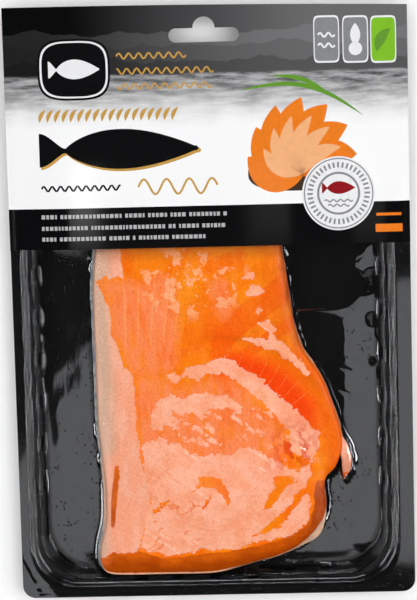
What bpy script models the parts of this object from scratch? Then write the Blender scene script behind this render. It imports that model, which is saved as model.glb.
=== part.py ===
"""A pack of salted trout: a fillet on its skin, sealed under clear film on a black formed tray,
with a printed card over the upper part and a hang hole through card, film and tray.

Metres, +Z up. The pack lies on the underside of its tray with the shown side up. X runs across
the pack, +Y points to the hang hole, and the origin lies under the middle of the pack.
"""

import math

import bmesh
import bpy
import numpy as np
from mathutils.geometry import delaunay_2d_cdt

MM = 0.001
GAP = 0.3 * MM  # kept between pieces that touch

# The pack's edge: straight sides, rounded lower corners, square upper ones and a slanted top
WIDTH = 170 * MM
LENGTH = 255 * MM
TOP_SLANT = 2.6 * MM  # how far the top edge's right end lies behind its left one
TOP_BOW = 0.65 * MM  # how far its middle stands out past the line between them
LOWER_CORNER = 5.5 * MM
UPPER_CORNER = 0.8 * MM

# The hang hole: a bar with round ends and a hump above its middle
SLOT_X = -0.3 * MM
SLOT_Y = 114.2 * MM
SLOT_WIDTH = 29.8 * MM
SLOT_HEIGHT = 6.0 * MM
HUMP_RADIUS = 4.7 * MM

# The tray: one formed sheet with a flat rim, a double bead, and a well with fluted walls
SHEET = 0.7 * MM
WELL_DEPTH = 9.0 * MM
RIM_LEFT = 4.8 * MM  # from the pack's edge to the outer bead
RIM_RIGHT = 7.4 * MM
RIM_LOWER = 4.6 * MM
HEADER = 51.6 * MM  # flat part above the well, which carries the hang hole
WELL_CORNER = 19.0 * MM  # radius of the beads and of the well alike
BEAD_HEIGHT = 0.6 * MM
BEAD_HALF_WIDTH = 0.6 * MM
BEAD_HALF_TOP = 0.2 * MM
BEAD_SPACING = 1.65 * MM
LAND = 4.4 * MM  # from the outer bead to the wall's upper edge
WALL_RUN = 1.2 * MM  # how far the wall leans in over its depth
WALL_ROUND = 0.35 * MM
FLUTE_DEPTH = 1.7 * MM
FLUTE_WIDTH = 4.6 * MM
FLUTE_RAMP = 1.3 * MM
FLUTE_PITCH_LONG = 18.35 * MM
FLUTE_PITCH_SHORT = 16.0 * MM
FLUTES_EACH_SIDE = 3  # besides the flute in the middle of each wall

# The food: a thin pale skin, and the fillet on it
SKIN_THICKNESS = 0.9 * MM
SKIN_RIM = 1.3 * MM  # how far the skin shows beyond the flesh, left and below
FLESH = 9.3 * MM  # thickness of the fillet's flat upper part
LOBE_X = 2.0 * MM  # the round lobe in the lower half
LOBE_Y = -66.0 * MM
LOBE_RADIUS = 48.0 * MM
LOBE_RISE = 2.6 * MM
CRESCENT_DEPTH = 1.0 * MM  # the groove that bounds the lobe, upper right
CRESCENT_WIDTH = 4.5 * MM
CRESCENT_TURN = math.radians(52)
DIMPLE_X = 30.5 * MM
DIMPLE_Y = -63.0 * MM
DIMPLE_RADIUS = 6.5 * MM
DIMPLE_DEPTH = 2.2 * MM
EDGE_SHARE = 0.6  # height of the fillet's edge as a share of its thickness
SHOULDER = 8.5 * MM
SHOULDER_LEFT = 16.0 * MM
PRESSED_Y = -118.0 * MM  # here the flesh leans on the wall
PRESSED_LEVEL = 8.8 * MM
FLESH_STEP = 4.6 * MM  # spacing of the points on the fillet's top

# Corners of the fillet's edge in millimetres, counter-clockwise from its lower left
FILLET_CORNERS = (
    (-51.3, -113.0), (-48.0, -117.0), (-40.0, -118.0), (-20.0, -118.0), (-3.0, -117.9),
    (8.0, -116.0), (18.0, -113.5), (27.5, -110.8), (37.2, -105.6), (45.0, -97.0),
    (47.4, -89.0), (46.8, -80.5), (49.0, -76.4), (52.6, -77.2), (55.6, -78.4),
    (57.6, -71.5), (56.2, -62.6), (53.6, -54.0), (51.0, -44.9), (46.4, -32.9),
    (38.9, -20.9), (35.2, -9.1), (33.3, 3.6), (31.8, 14.1), (30.2, 26.0),
    (27.5, 43.0), (20.0, 57.0), (4.0, 65.0), (-20.0, 66.5), (-40.0, 60.5),
    (-48.6, 45.0), (-49.5, 24.0), (-50.9, 8.0), (-50.9, -13.0), (-50.7, -35.0),
    (-50.6, -51.0), (-49.4, -66.0), (-48.2, -80.0), (-48.6, -95.0), (-51.0, -105.0),
)

# The film: drawn over the rim, down the wall and over the fillet
FILM = 0.25 * MM
FILM_FALL = 3.0  # slope of the film beside the fillet
FILM_PATH = ((0.5, 0.0), (1.9, -2.6), (4.2, -7.0), (6.6, -9.0))  # mm past the land, mm down
FILM_SLACK = 0.35 * MM  # added to the gap over the fillet
FILM_STEP = 7.0 * MM
PEEL_LEFT_Y = -107.0 * MM  # ends of the crease across the lower left corner
PEEL_LOWER_X = -74.6 * MM
PEEL_SLOPE = 0.1

# The card
CARD = 0.4 * MM
CARD_LENGTH = 102.6 * MM
CARD_STEP = 9.0 * MM
CARD_CURL = 0.65 * MM  # rise from the card's edge to its face, over the beads
CARD_CURL_WIDTH = 4.0 * MM
CARD_BULGE = 1.5 * MM  # where the fillet lifts it
CARD_WAVE = 0.12 * MM
CARD_WAVE_LENGTH = 64.0 * MM

# Heights
FLANGE_TOP = SHEET + WELL_DEPTH
SKIN_UNDER = SHEET + GAP
FLESH_UNDER = SKIN_UNDER + SKIN_THICKNESS + GAP
CARD_UNDER = FLANGE_TOP + GAP + FILM + GAP

# Lines
LOWER_Y = -LENGTH / 2
UPPER_Y = LENGTH / 2
WELL_X = (RIM_LEFT - RIM_RIGHT) / 2
WELL_Y = (RIM_LOWER - HEADER) / 2
WELL_HALF_X = (WIDTH - RIM_LEFT - RIM_RIGHT) / 2
WELL_HALF_Y = (LENGTH - RIM_LOWER - HEADER) / 2

CORNER_STEPS = 7
SIDE_STEP = 13.0 * MM


def smoothstep(low, high, value):
    """0 below low, 1 above high, and 3t^2 - 2t^3 between."""
    t = np.clip((value - low) / (high - low), 0.0, 1.0)
    return t * t * (3 - 2 * t)


def arc(x, y, radius, start, end, steps):
    """Points of an arc, angles in degrees."""
    turn = np.radians(np.linspace(start, end, steps + 1))
    return np.stack([x + radius * np.cos(turn), y + radius * np.sin(turn)], 1)


def edge_loop(lower_y, lower_radius, stops=()):
    """The pack's edge from lower_y up, counter-clockwise, with stops as extra points on it."""
    half = WIDTH / 2
    r, s = lower_radius, UPPER_CORNER
    across = np.linspace(half - s, s - half, 11)
    share = across / half
    top_y = UPPER_Y - TOP_SLANT * (1 + share) / 2 + TOP_BOW * (1 - share**2)
    parts = [
        [stop for stop in stops if stop[1] == lower_y],
        arc(half - r, lower_y + r, r, -90, 0, 5),
        arc(half - s, UPPER_Y - TOP_SLANT - s, s, 0, 60, 2),
        np.stack([across, top_y], 1),
        arc(s - half, UPPER_Y - s, s, 120, 180, 2),
        [stop for stop in stops if stop[0] == -half],
        arc(r - half, lower_y + r, r, 180, 270, 5),
    ]
    return np.vstack([part for part in parts if len(part)])


def slot_loop():
    """The hang hole's edge, counter-clockwise."""
    r = SLOT_HEIGHT / 2
    reach = SLOT_WIDTH / 2 - r
    return np.vstack([
        arc(SLOT_X + reach, SLOT_Y, r, -90, 90, 8),
        arc(SLOT_X, SLOT_Y + r, HUMP_RADIUS, 0, 180, 10),
        arc(SLOT_X - reach, SLOT_Y, r, 90, 270, 8),
    ])


def flute_stations(pitch):
    """Stations of one wall's flutes: (place along the wall, share of the flute's depth)."""
    stations = []
    for flute in range(-FLUTES_EACH_SIDE, FLUTES_EACH_SIDE + 1):
        for side, share in ((-1.5, 0), (-0.5, 1), (0.5, 1), (1.5, 0)):
            out = FLUTE_RAMP if share == 0 else 0
            stations.append((flute * pitch + math.copysign(FLUTE_WIDTH / 2 + out, side), share))
    return stations


def plain_stations(half):
    """Evenly spaced stations with no flute, for a wall whose straight part has this half length."""
    count = int(2 * half / SIDE_STEP)
    return [(place, 0) for place in np.linspace(-half, half, count + 1)[1:-1]]


FLUTED = (flute_stations(FLUTE_PITCH_LONG), flute_stations(FLUTE_PITCH_SHORT))
PLAIN = (plain_stations(WELL_HALF_Y - WELL_CORNER), plain_stations(WELL_HALF_X - WELL_CORNER))


def well_ring(inset, stations=PLAIN, depth=0.0):
    """A ring round the well, inset from the outer bead's line, with every corner of one radius.

    Each quarter is a wall and the corner after it, turned by 90 degrees from the last. A station
    steps out of the wall by its share of depth.
    """
    quarters = []
    for quarter in range(4):
        along, across = WELL_HALF_Y - inset, WELL_HALF_X - inset
        if quarter % 2:
            along, across = across, along
        wall = [(across + depth * share, place) for place, share in stations[quarter % 2]]
        corner = arc(across - WELL_CORNER, along - WELL_CORNER, WELL_CORNER, 0, 90, CORNER_STEPS)
        points = np.vstack([wall, corner])
        for _ in range(quarter):
            points = np.stack([-points[:, 1], points[:, 0]], 1)
        quarters.append(points)
    return np.vstack(quarters) + (WELL_X, WELL_Y)


def well_inset(xy):
    """How far inside the outer bead's line a point lies: the inset of the ring through it.

    With u and v measured from the corner's centre, a corner's ring solves
    (u + t)^2 + (v + t)^2 = r^2, and a wall's is the smaller of r - u and r - v.
    """
    u = np.abs(xy[:, 0] - WELL_X) - (WELL_HALF_X - WELL_CORNER)
    v = np.abs(xy[:, 1] - WELL_Y) - (WELL_HALF_Y - WELL_CORNER)
    corner = (np.sqrt(np.maximum(2 * WELL_CORNER**2 - (u - v) ** 2, 0)) - u - v) / 2
    return np.where(np.abs(u - v) < WELL_CORNER, corner, WELL_CORNER - np.maximum(u, v))


def bead_rings():
    """(inset, rise) of the rings that make the two beads, from outside to inside."""
    rings = []
    for bead in (0, BEAD_SPACING):
        for out, rise in (
            (-BEAD_HALF_WIDTH, 0.0),
            (-BEAD_HALF_TOP, BEAD_HEIGHT),
            (BEAD_HALF_TOP, BEAD_HEIGHT),
            (BEAD_HALF_WIDTH, 0.0),
        ):
            rings.append((bead + out, rise))
    return rings


def smooth_loop(corners, cuts):
    """A closed Catmull-Rom curve through the corners, each span cut into this many parts."""
    p = np.asarray(corners, float)
    before, after, beyond = np.roll(p, 1, 0), np.roll(p, -1, 0), np.roll(p, -2, 0)
    spans = []
    for t in np.arange(cuts) / cuts:
        spans.append(0.5 * (
            2 * p + (after - before) * t
            + (2 * before - 5 * p + 4 * after - beyond) * t**2
            + (3 * p - before - 3 * after + beyond) * t**3
        ))
    return np.stack(spans, 1).reshape(-1, 2)


def moved_out(loop, distance):
    """A counter-clockwise loop with each point moved out along its normal."""
    along = np.roll(loop, -1, 0) - np.roll(loop, 1, 0)
    normal = np.stack([along[:, 1], -along[:, 0]], 1)
    normal /= np.linalg.norm(normal, axis=1, keepdims=True)
    return loop + normal * np.reshape(distance, (-1, 1))


def inside(xy, loop):
    """True for points inside a loop, by counting the edges crossed on the way to +X."""
    start, end = loop, np.roll(loop, -1, 0)
    x, y = xy[:, :1], xy[:, 1:]
    spans = (start[:, 1] > y) != (end[:, 1] > y)
    rise = np.where(end[:, 1] == start[:, 1], 1.0, end[:, 1] - start[:, 1])
    crossing = start[:, 0] + (y - start[:, 1]) * (end[:, 0] - start[:, 0]) / rise
    return (spans & (x < crossing)).sum(1) % 2 == 1


def depth_inside(xy, loop):
    """Distance from each point to a loop, positive inside it and negative outside."""
    start, along = loop, np.roll(loop, -1, 0) - loop
    to_point = xy[:, None, :] - start[None]
    share = np.clip((to_point * along).sum(2) / (along**2).sum(1), 0, 1)
    distance = np.linalg.norm(to_point - share[..., None] * along, axis=2).min(1)
    return np.where(inside(xy, loop), distance, -distance)


FILLET_LOOP = smooth_loop(FILLET_CORNERS, 2) * MM


def flesh_thickness(xy):
    """Thickness of the fillet away from its edge: a flat part that thins towards the hidden end,
    a round lobe with a groove along its upper right side, and a dimple."""
    x, y = xy[:, 0], xy[:, 1]
    from_lobe = np.hypot(x - LOBE_X, y - LOBE_Y)
    turn = np.arctan2(y - LOBE_Y, x - LOBE_X) - CRESCENT_TURN
    lobe = LOBE_RISE * (1 - smoothstep(0.35, 1.0, from_lobe / LOBE_RADIUS))
    groove = CRESCENT_DEPTH * np.exp(-(((from_lobe - LOBE_RADIUS) / CRESCENT_WIDTH) ** 2))
    groove *= smoothstep(0.2, 0.8, np.cos(turn))
    from_dimple = np.hypot(x - DIMPLE_X, y - DIMPLE_Y)
    dimple = DIMPLE_DEPTH * np.exp(-((from_dimple / DIMPLE_RADIUS) ** 2))
    thinning = 2.2 * MM * smoothstep(10 * MM, 66 * MM, y)
    return FLESH + lobe - groove - dimple - thinning


def flesh_top(xy, depth):
    """Height of the fillet's top at points this deep inside its edge: a quarter ellipse up from
    the edge, wider on the left."""
    left = 1 - smoothstep(-44 * MM, -26 * MM, xy[:, 0])
    shoulder = SHOULDER + (SHOULDER_LEFT - SHOULDER) * left
    out = 1 - np.clip(depth / shoulder, 0, 1)
    share = EDGE_SHARE + (1 - EDGE_SHARE) * np.sqrt(1 - out**2)
    return FLESH_UNDER + flesh_thickness(xy) * share


def hexagonal(spacing, low, high):
    """Points of a triangular grid over a box."""
    rise = spacing * math.sqrt(3) / 2
    rows = np.arange(low[1], high[1], rise)
    columns = np.arange(low[0], high[0], spacing)
    x, y = np.meshgrid(columns, rows)
    x = x + (np.arange(len(rows)) % 2)[:, None] * spacing / 2
    return np.stack([x.ravel(), y.ravel()], 1)


def triangles(xy, loops, creases=()):
    """Triangles over the region inside the first loop and outside the others, as point indices.

    Loops and creases are lists of indices whose edges are kept, and the rest is a Delaunay mesh.
    """
    edges = [(a, b) for loop in loops for a, b in zip(loop, loop[1:] + loop[:1])]
    edges += [(a, b) for crease in creases for a, b in zip(crease, crease[1:])]
    flat = [tuple(point) for point in xy / MM]
    _, _, faces, origin, _, _ = delaunay_2d_cdt(flat, edges, [], 0, 1e-6)
    faces = np.array([[origin[corner][0] for corner in face] for face in faces])
    middle = xy[faces].mean(1)
    keep = inside(middle, xy[loops[0]])
    for hole in loops[1:]:
        keep &= ~inside(middle, xy[hole])
    return faces[keep]


class Solid:
    """Points and faces of one closed solid, gathered surface by surface."""

    def __init__(self):
        self.points = []
        self.faces = []

    def ring(self, xy, z):
        """Adds points at one height, or a height each, and returns their indices."""
        first = len(self.points)
        heights = np.broadcast_to(z, len(xy))
        self.points += [(x, y, height) for (x, y), height in zip(xy, heights)]
        return list(range(first, len(self.points)))

    def loft(self, outer, inner):
        """Joins two rings with as many points each."""
        for here in range(len(outer)):
            after = (here + 1) % len(outer)
            self.faces.append((outer[here], outer[after], inner[after], inner[here]))

    def fill(self, loops, spots=()):
        """Fills the region between loops, through spots that lie in it."""
        used = [index for loop in loops for index in loop] + list(spots)
        xy = np.array([self.points[index][:2] for index in used])
        place, local = 0, []
        for loop in loops:
            local.append(list(range(place, place + len(loop))))
            place += len(loop)
        self.faces += [tuple(used[corner] for corner in face) for face in triangles(xy, local)]

    def build(self, name, colour, roughness, alpha=1.0):
        """Makes the object, with its faces turned outwards."""
        mesh = bpy.data.meshes.new(name)
        mesh.from_pydata(self.points, [], self.faces)
        work = bmesh.new()
        work.from_mesh(mesh)
        bmesh.ops.recalc_face_normals(work, faces=work.faces)
        work.to_mesh(mesh)
        work.free()
        mesh.shade_smooth()
        mesh.set_sharp_from_angle(angle=math.radians(35))
        material = bpy.data.materials.new(name)
        material.use_nodes = True
        shader = material.node_tree.nodes["Principled BSDF"]
        shader.inputs["Base Color"].default_value = (*colour, 1)
        shader.inputs["Roughness"].default_value = roughness
        shader.inputs["Metallic"].default_value = 0.0
        shader.inputs["Alpha"].default_value = alpha
        mesh.materials.append(material)
        item = bpy.data.objects.new(name, mesh)
        bpy.context.scene.collection.objects.link(item)
        return item


def sheet_solid(xy, loops, creases, under, thickness):
    """A thin sheet over a region of the plan, with its underside at the given heights."""
    solid = Solid()
    low = solid.ring(xy, under)
    high = solid.ring(xy, under + thickness)
    for face in triangles(xy, loops, creases):
        solid.faces.append(tuple(low[corner] for corner in face))
        solid.faces.append(tuple(high[corner] for corner in face))
    for loop in loops:
        solid.loft([low[index] for index in loop], [high[index] for index in loop])
    return solid


def stacked(parts):
    """Point sets in one array, and the indices of each."""
    bounds = np.cumsum([0] + [len(part) for part in parts])
    spans = [list(range(low, high)) for low, high in zip(bounds[:-1], bounds[1:])]
    return np.vstack(parts), spans


def make_tray():
    """The tray: rim with two beads, fluted wall and floor, and the same again below."""
    solid = Solid()
    edge = edge_loop(LOWER_Y, LOWER_CORNER)
    slot = slot_loop()
    top_edge, top_slot = solid.ring(edge, FLANGE_TOP), solid.ring(slot, FLANGE_TOP)
    low_edge = solid.ring(edge, FLANGE_TOP - SHEET)
    low_slot = solid.ring(slot, FLANGE_TOP - SHEET)
    solid.loft(top_edge, low_edge)
    solid.loft(top_slot, low_slot)

    beads = [solid.ring(well_ring(inset), FLANGE_TOP + rise) for inset, rise in bead_rings()]
    solid.fill([top_edge, beads[0], top_slot])
    for outer, inner in zip(beads, beads[1:]):
        solid.loft(outer, inner)

    wall = (
        (LAND, FLANGE_TOP, 1.0),
        (LAND + WALL_ROUND, FLANGE_TOP - WALL_ROUND, 1.0),
        (LAND + WALL_RUN, SHEET + 2 * WALL_ROUND, 0.75),
        (LAND + WALL_RUN + 2 * WALL_ROUND, SHEET, 0.6),
    )
    rings = [
        solid.ring(well_ring(inset, FLUTED, share * FLUTE_DEPTH), height)
        for inset, height, share in wall
    ]
    solid.fill([beads[-1], rings[0]])
    for outer, inner in zip(rings, rings[1:]):
        solid.loft(outer, inner)
    solid.fill([rings[-1]])

    back = (
        (LAND - SHEET, FLANGE_TOP - SHEET, 1.0),
        (LAND + WALL_RUN - SHEET, 2 * WALL_ROUND, 0.75),
        (LAND + WALL_RUN + 2 * WALL_ROUND - SHEET, 0.0, 0.6),
    )
    rings = [
        solid.ring(well_ring(inset, FLUTED, share * FLUTE_DEPTH), height)
        for inset, height, share in back
    ]
    solid.fill([low_edge, rings[0], low_slot])
    for outer, inner in zip(rings, rings[1:]):
        solid.loft(outer, inner)
    solid.fill([rings[-1]])
    solid.build("tray", (0.012, 0.012, 0.014), 0.18)


def make_skin():
    """The pale skin and fat under the flesh, a little wider than it on the left and below."""
    x, y = FILLET_LOOP[:, 0], FILLET_LOOP[:, 1]
    left = 1 - smoothstep(-50 * MM, -40 * MM, x)
    lower = 1 - smoothstep(-108 * MM, -90 * MM, y)
    against_wall = 1 - smoothstep(PRESSED_Y, PRESSED_Y + 3 * MM, y)
    rim = SKIN_RIM * np.maximum(left, lower) - (SKIN_RIM + 1.6 * MM) * against_wall
    edge = moved_out(FILLET_LOOP, rim)
    shrunk = moved_out(FILLET_LOOP, rim - 0.3 * MM)
    solid = Solid()
    low = solid.ring(shrunk, SKIN_UNDER)
    middle = solid.ring(edge, SKIN_UNDER + SKIN_THICKNESS / 2)
    high = solid.ring(shrunk, SKIN_UNDER + SKIN_THICKNESS)
    solid.fill([low])
    solid.loft(low, middle)
    solid.loft(middle, high)
    solid.fill([high])
    solid.build("skin_layer", (0.76, 0.58, 0.44), 0.4)


def make_fillet():
    """The flesh: a flat underside, a bulging edge and the lobed top."""
    y = FILLET_LOOP[:, 1]
    pressed = 1 - smoothstep(PRESSED_Y, PRESSED_Y + 6 * MM, y)
    widest = FLESH_UNDER + 0.35 * flesh_thickness(FILLET_LOOP)
    widest += (PRESSED_LEVEL - widest) * pressed
    foot = moved_out(FILLET_LOOP, -1.0 * MM - 0.6 * MM * pressed)
    brow = moved_out(FILLET_LOOP, -0.7 * MM)
    crown = moved_out(FILLET_LOOP, -3.0 * MM)
    crown = crown[depth_inside(crown, FILLET_LOOP) > 2.5 * MM]
    grid = hexagonal(FLESH_STEP, FILLET_LOOP.min(0), FILLET_LOOP.max(0))
    grid = grid[depth_inside(grid, FILLET_LOOP) > 5.5 * MM]

    solid = Solid()
    foot_ring = solid.ring(foot, FLESH_UNDER)
    wide_ring = solid.ring(FILLET_LOOP, widest)
    brow_ring = solid.ring(brow, flesh_top(brow, depth_inside(brow, FILLET_LOOP)))
    solid.fill([foot_ring])
    solid.loft(foot_ring, wide_ring)
    solid.loft(wide_ring, brow_ring)
    spots = np.vstack([crown, grid])
    inner = solid.ring(spots, flesh_top(spots, depth_inside(spots, FILLET_LOOP)))
    solid.fill([brow_ring], inner)
    solid.build("fillet", (0.87, 0.22, 0.03), 0.35)


def film_under(xy):
    """Height of the film's underside.

    It is the higher of two sheets, plus a gap: one lies on the rim, rises over the beads and is
    drawn down inside the wall, and one covers the fillet and falls steeply beside it. Past the
    crease across the lower left corner the film lifts off.
    """
    path = bead_rings() + [((LAND + out * MM), down * MM) for out, down in FILM_PATH]
    drawn = FLANGE_TOP + np.interp(well_inset(xy), *zip(*path))
    depth = depth_inside(xy, FILLET_LOOP)
    cover = flesh_top(xy, np.maximum(depth, 0)) + FILM_FALL * np.minimum(depth, 0)
    left, lower = -WIDTH / 2, LOWER_Y
    crease = np.array([PEEL_LOWER_X - left, lower - PEEL_LEFT_Y])
    across = np.array([crease[1], -crease[0]]) / np.hypot(*crease)
    beyond = (xy - (left, PEEL_LEFT_Y)) @ across
    lift = PEEL_SLOPE * np.maximum(beyond, 0)
    return np.maximum(drawn, cover + FILM_SLACK) + GAP + lift


def make_film():
    """The clear film, one sheet over the whole pack."""
    stops = ((PEEL_LOWER_X, LOWER_Y), (-WIDTH / 2, PEEL_LEFT_Y))
    edge, slot = edge_loop(LOWER_Y, LOWER_CORNER, stops), slot_loop()
    rim = [well_ring(inset) for inset, _ in bead_rings()] + [well_ring(LAND)]
    walls = [well_ring(LAND + out * MM) for out, _ in FILM_PATH]
    walls = [ring[depth_inside(ring, FILLET_LOOP) < -4.0 * MM] for ring in walls[1:]]
    brink = well_ring(LAND + FILM_PATH[0][0] * MM)
    outs = (2.6, 0.0, -0.7, -3.0, -6.5)
    beside = [moved_out(FILLET_LOOP, out * MM) for out in outs]
    beside = [ring[depth_inside(ring, FILLET_LOOP) > -out * MM - 0.6 * MM]
              if out < 0 else ring for ring, out in zip(beside, outs)]
    clear = LAND + (FILM_PATH[0][0] + 0.7) * MM
    beside = [ring[well_inset(ring) > clear] for ring in beside]
    grid = hexagonal(FILM_STEP, FILLET_LOOP.min(0), FILLET_LOOP.max(0))
    grid = grid[depth_inside(grid, FILLET_LOOP) > 9.5 * MM]
    xy, spans = stacked([edge, slot, *rim, brink, *walls, *beside, grid])
    closed = [span + span[:1] for span in spans[2:3 + len(rim)]]
    peel = [int(np.argmin(np.hypot(*(edge - stop).T))) for stop in stops]
    solid = sheet_solid(xy, spans[:2], closed + [peel], film_under(xy), FILM)
    solid.build("film", (0.9, 0.92, 0.95), 0.05, 0.12)


def card_under(xy):
    """Height of the card's underside: up from its edge over the beads, a broad bulge where the
    fillet lifts it, and a slight wave across."""
    x, y = xy[:, 0], xy[:, 1]
    from_side = WIDTH / 2 - np.abs(x)
    beads_end = WELL_Y + WELL_HALF_Y
    on_well = 1 - smoothstep(beads_end + 2 * MM, beads_end + 12 * MM, y)
    curl = CARD_CURL * smoothstep(0, CARD_CURL_WIDTH, from_side) * on_well
    across = smoothstep(-80 * MM, -50 * MM, x) * (1 - smoothstep(28 * MM, 66 * MM, x))
    bulge = CARD_BULGE * across * (1 - smoothstep(58 * MM, 96 * MM, y))
    wave = CARD_WAVE * (1 - np.cos(2 * math.pi * (x + WIDTH / 2) / CARD_WAVE_LENGTH))
    return CARD_UNDER + curl + bulge + wave * smoothstep(0, 10 * MM, from_side)


def make_card():
    """The printed card over the upper part, with the hang hole through it."""
    edge, slot = edge_loop(UPPER_Y - CARD_LENGTH, 0.3 * MM), slot_loop()
    low_y = UPPER_Y - CARD_LENGTH
    side = WIDTH / 2
    reach = np.arange(-side + CARD_STEP, side - CARD_STEP / 2, CARD_STEP)
    lower = np.stack([reach, np.full(len(reach), low_y)], 1)
    upright = np.arange(low_y + CARD_STEP, UPPER_Y - CARD_STEP / 2, CARD_STEP)
    right = np.stack([np.full(len(upright), side), upright], 1)
    corner = 6  # points of the rounded corner that edge_loop starts with
    edge = np.vstack([lower, edge[:corner], right, edge[corner:-corner],
                      right[::-1] * (-1, 1), edge[-corner:]])
    x, y = np.meshgrid(reach, upright)
    curl = np.stack([np.repeat([CARD_CURL_WIDTH - side, side - CARD_CURL_WIDTH], len(upright)),
                     np.tile(upright, 2)], 1)
    spots = np.vstack([np.stack([x.ravel(), y.ravel()], 1), curl])
    spots = spots[depth_inside(spots, slot) < -1.5 * MM]
    xy, spans = stacked([edge, slot, spots])
    solid = sheet_solid(xy, spans[:2], [], card_under(xy), CARD)
    solid.build("card", (0.75, 0.75, 0.75), 0.3)


def main():
    """Clears the scene and makes the five pieces."""
    for item in list(bpy.data.objects):
        bpy.data.objects.remove(item)
    make_tray()
    make_skin()
    make_fillet()
    make_film()
    make_card()


main()
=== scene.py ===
"""A pack of salted trout: black formed tray, fillet under clear film, and a printed header card.

The shapes are worked out in millimetres and written to the meshes in metres. X runs across the
pack, +Y points to the hang hole, and Z = 0 is the plane that the tray rests on.
"""

import math

import bmesh
import bpy
import numpy as np
from bpy.props import FloatProperty, FloatVectorProperty, IntProperty, PointerProperty
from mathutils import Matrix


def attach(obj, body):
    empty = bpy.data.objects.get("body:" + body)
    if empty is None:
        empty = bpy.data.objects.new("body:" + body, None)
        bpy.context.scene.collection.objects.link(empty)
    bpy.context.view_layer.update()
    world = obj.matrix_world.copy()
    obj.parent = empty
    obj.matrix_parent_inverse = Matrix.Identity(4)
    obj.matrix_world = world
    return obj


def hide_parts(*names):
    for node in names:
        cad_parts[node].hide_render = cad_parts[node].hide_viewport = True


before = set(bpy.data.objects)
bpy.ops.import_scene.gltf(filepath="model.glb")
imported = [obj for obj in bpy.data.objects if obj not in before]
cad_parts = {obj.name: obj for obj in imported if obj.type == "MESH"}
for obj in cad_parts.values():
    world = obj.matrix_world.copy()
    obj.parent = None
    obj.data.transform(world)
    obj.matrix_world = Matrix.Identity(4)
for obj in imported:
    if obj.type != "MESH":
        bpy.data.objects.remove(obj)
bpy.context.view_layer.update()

bl_info = {
    "name": "Trout Pack",
    "version": (1, 0, 0),
    "blender": (4, 5, 0),
    "location": "3D View > Sidebar > Trout Pack",
    "description": "Builds a chilled pack of salted trout around its packed solids",
    "category": "Object",
}

MM = 0.001

# The pack's edge and its hang hole, in millimetres
WIDTH, LENGTH = 170.0, 255.0
LEFT, RIGHT, LOWER, UPPER = -WIDTH / 2, WIDTH / 2, -LENGTH / 2, LENGTH / 2
TOP_SLANT, TOP_BOW, SLANT_START = 2.6, 0.65, 124.6
SLOT_X, SLOT_Y, SLOT_WIDTH, SLOT_HEIGHT, HUMP_RADIUS = -0.3, 114.2, 29.8, 6.0, 4.7
CUTTER_REACH = 8.0  # of the prism that cuts the hang hole, above and below the flange

# The tray
SHEET, WELL_DEPTH, WELL_CORNER = 0.7, 9.0, 19.0
RIM_LEFT, RIM_RIGHT, RIM_LOWER, HEADER = 4.8, 7.4, 4.6, 51.6  # flange outside the outer bead
BEAD_HEIGHT, BEAD_HALF_WIDTH, BEAD_SPACING = 0.6, 0.65, 1.65
LAND, WALL_RUN, WALL_BEND = 4.4, 1.2, 0.5  # inset of the wall's brow, its slope, and its bends
TRAY_SPACING, FILM_SPACING = 0.62, 1.12  # of the points round each ring
FLUTE_DEPTH, FLUTE_WIDTH, FLUTE_RAMP, FLUTES_EACH_SIDE = 1.7, 4.6, 1.3, 3
FLUTE_PITCH = (18.35, 16.0)  # along the long walls, and along the short ones
FLANGE_TOP = SHEET + WELL_DEPTH
FLOOR_RINGS = (7.5, 9, 12, 16, 22, 30, 40, 50, 58)  # insets
WELL_X, WELL_Y = (RIM_LEFT - RIM_RIGHT) / 2, (RIM_LOWER - HEADER) / 2
WELL_HALF_X = (WIDTH - RIM_LEFT - RIM_RIGHT) / 2
WELL_HALF_Y = (LENGTH - RIM_LOWER - HEADER) / 2
RIMS = (RIM_RIGHT, HEADER, RIM_LEFT, RIM_LOWER)  # outside each quarter's wall
EDGE_CORNERS = (0.8, 0.8, 5.5, 5.5)  # radius of the pack's corner after each wall
EDGE_SPANS = (0.42, 0.42, 0.3, 0.3)  # where that corner's arc starts, as a share of the way round

# The food
GAP = 0.3
SKIN_UNDER, SKIN_THICKNESS, SKIN_RIM = 1.0, 0.9, 1.3
FLESH_UNDER = SKIN_UNDER + SKIN_THICKNESS + GAP
FLESH, FLESH_THINNING = 9.3, 2.2  # thickness, and how much less it is at the hidden end
LOBE_X, LOBE_Y, LOBE_RADIUS, LOBE_RISE = 2.0, -66.0, 48.0, 2.6
CRESCENT_DEPTH, CRESCENT_WIDTH, CRESCENT_TURN = 1.0, 4.5, math.radians(52)
DIMPLE_X, DIMPLE_Y, DIMPLE_RADIUS, DIMPLE_DEPTH = 30.5, -63.0, 6.5, 2.2
EDGE_SHARE, SHOULDER, SHOULDER_LEFT = 0.6, 8.5, 16.0  # share of the height at the edge, and widths
PRESSED_Y, PRESSED_LEVEL = -118.0, 8.8  # where the flesh leans on the lower wall, and how high
FLESH_EDGE = (
    (-51.3, -113), (-48, -117), (-40, -118), (-20, -118), (-3, -117.9),
    (8, -116), (18, -113.5), (27.5, -110.8), (37.2, -105.6), (45, -97),
    (47.4, -89), (46.7, -81), (48, -76.2), (51, -73.6), (53, -69.5),
    (55, -63), (53.9, -54.5), (51, -44.9), (46.4, -32.9), (38.9, -20.9),
    (35.2, -9.1), (33.3, 3.6), (31.8, 14.1), (30.2, 26), (27.5, 43),
    (20, 57), (4, 65), (-20, 66.5), (-40, 60.5), (-48.6, 45),
    (-49.5, 24), (-50.9, 8), (-50.9, -13), (-50.7, -35), (-50.6, -51),
    (-49.4, -66), (-48.2, -80), (-48.6, -95), (-51, -105),
)
FLESH_QUARTERS = (0, 9, 24, 29)  # corners of that list where its four sides start
FLAP = ((53.2, -58.5), (55.4, -64.0), (56.6, -69.5), (56.2, -74.5), (55.0, -78.6))
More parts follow.
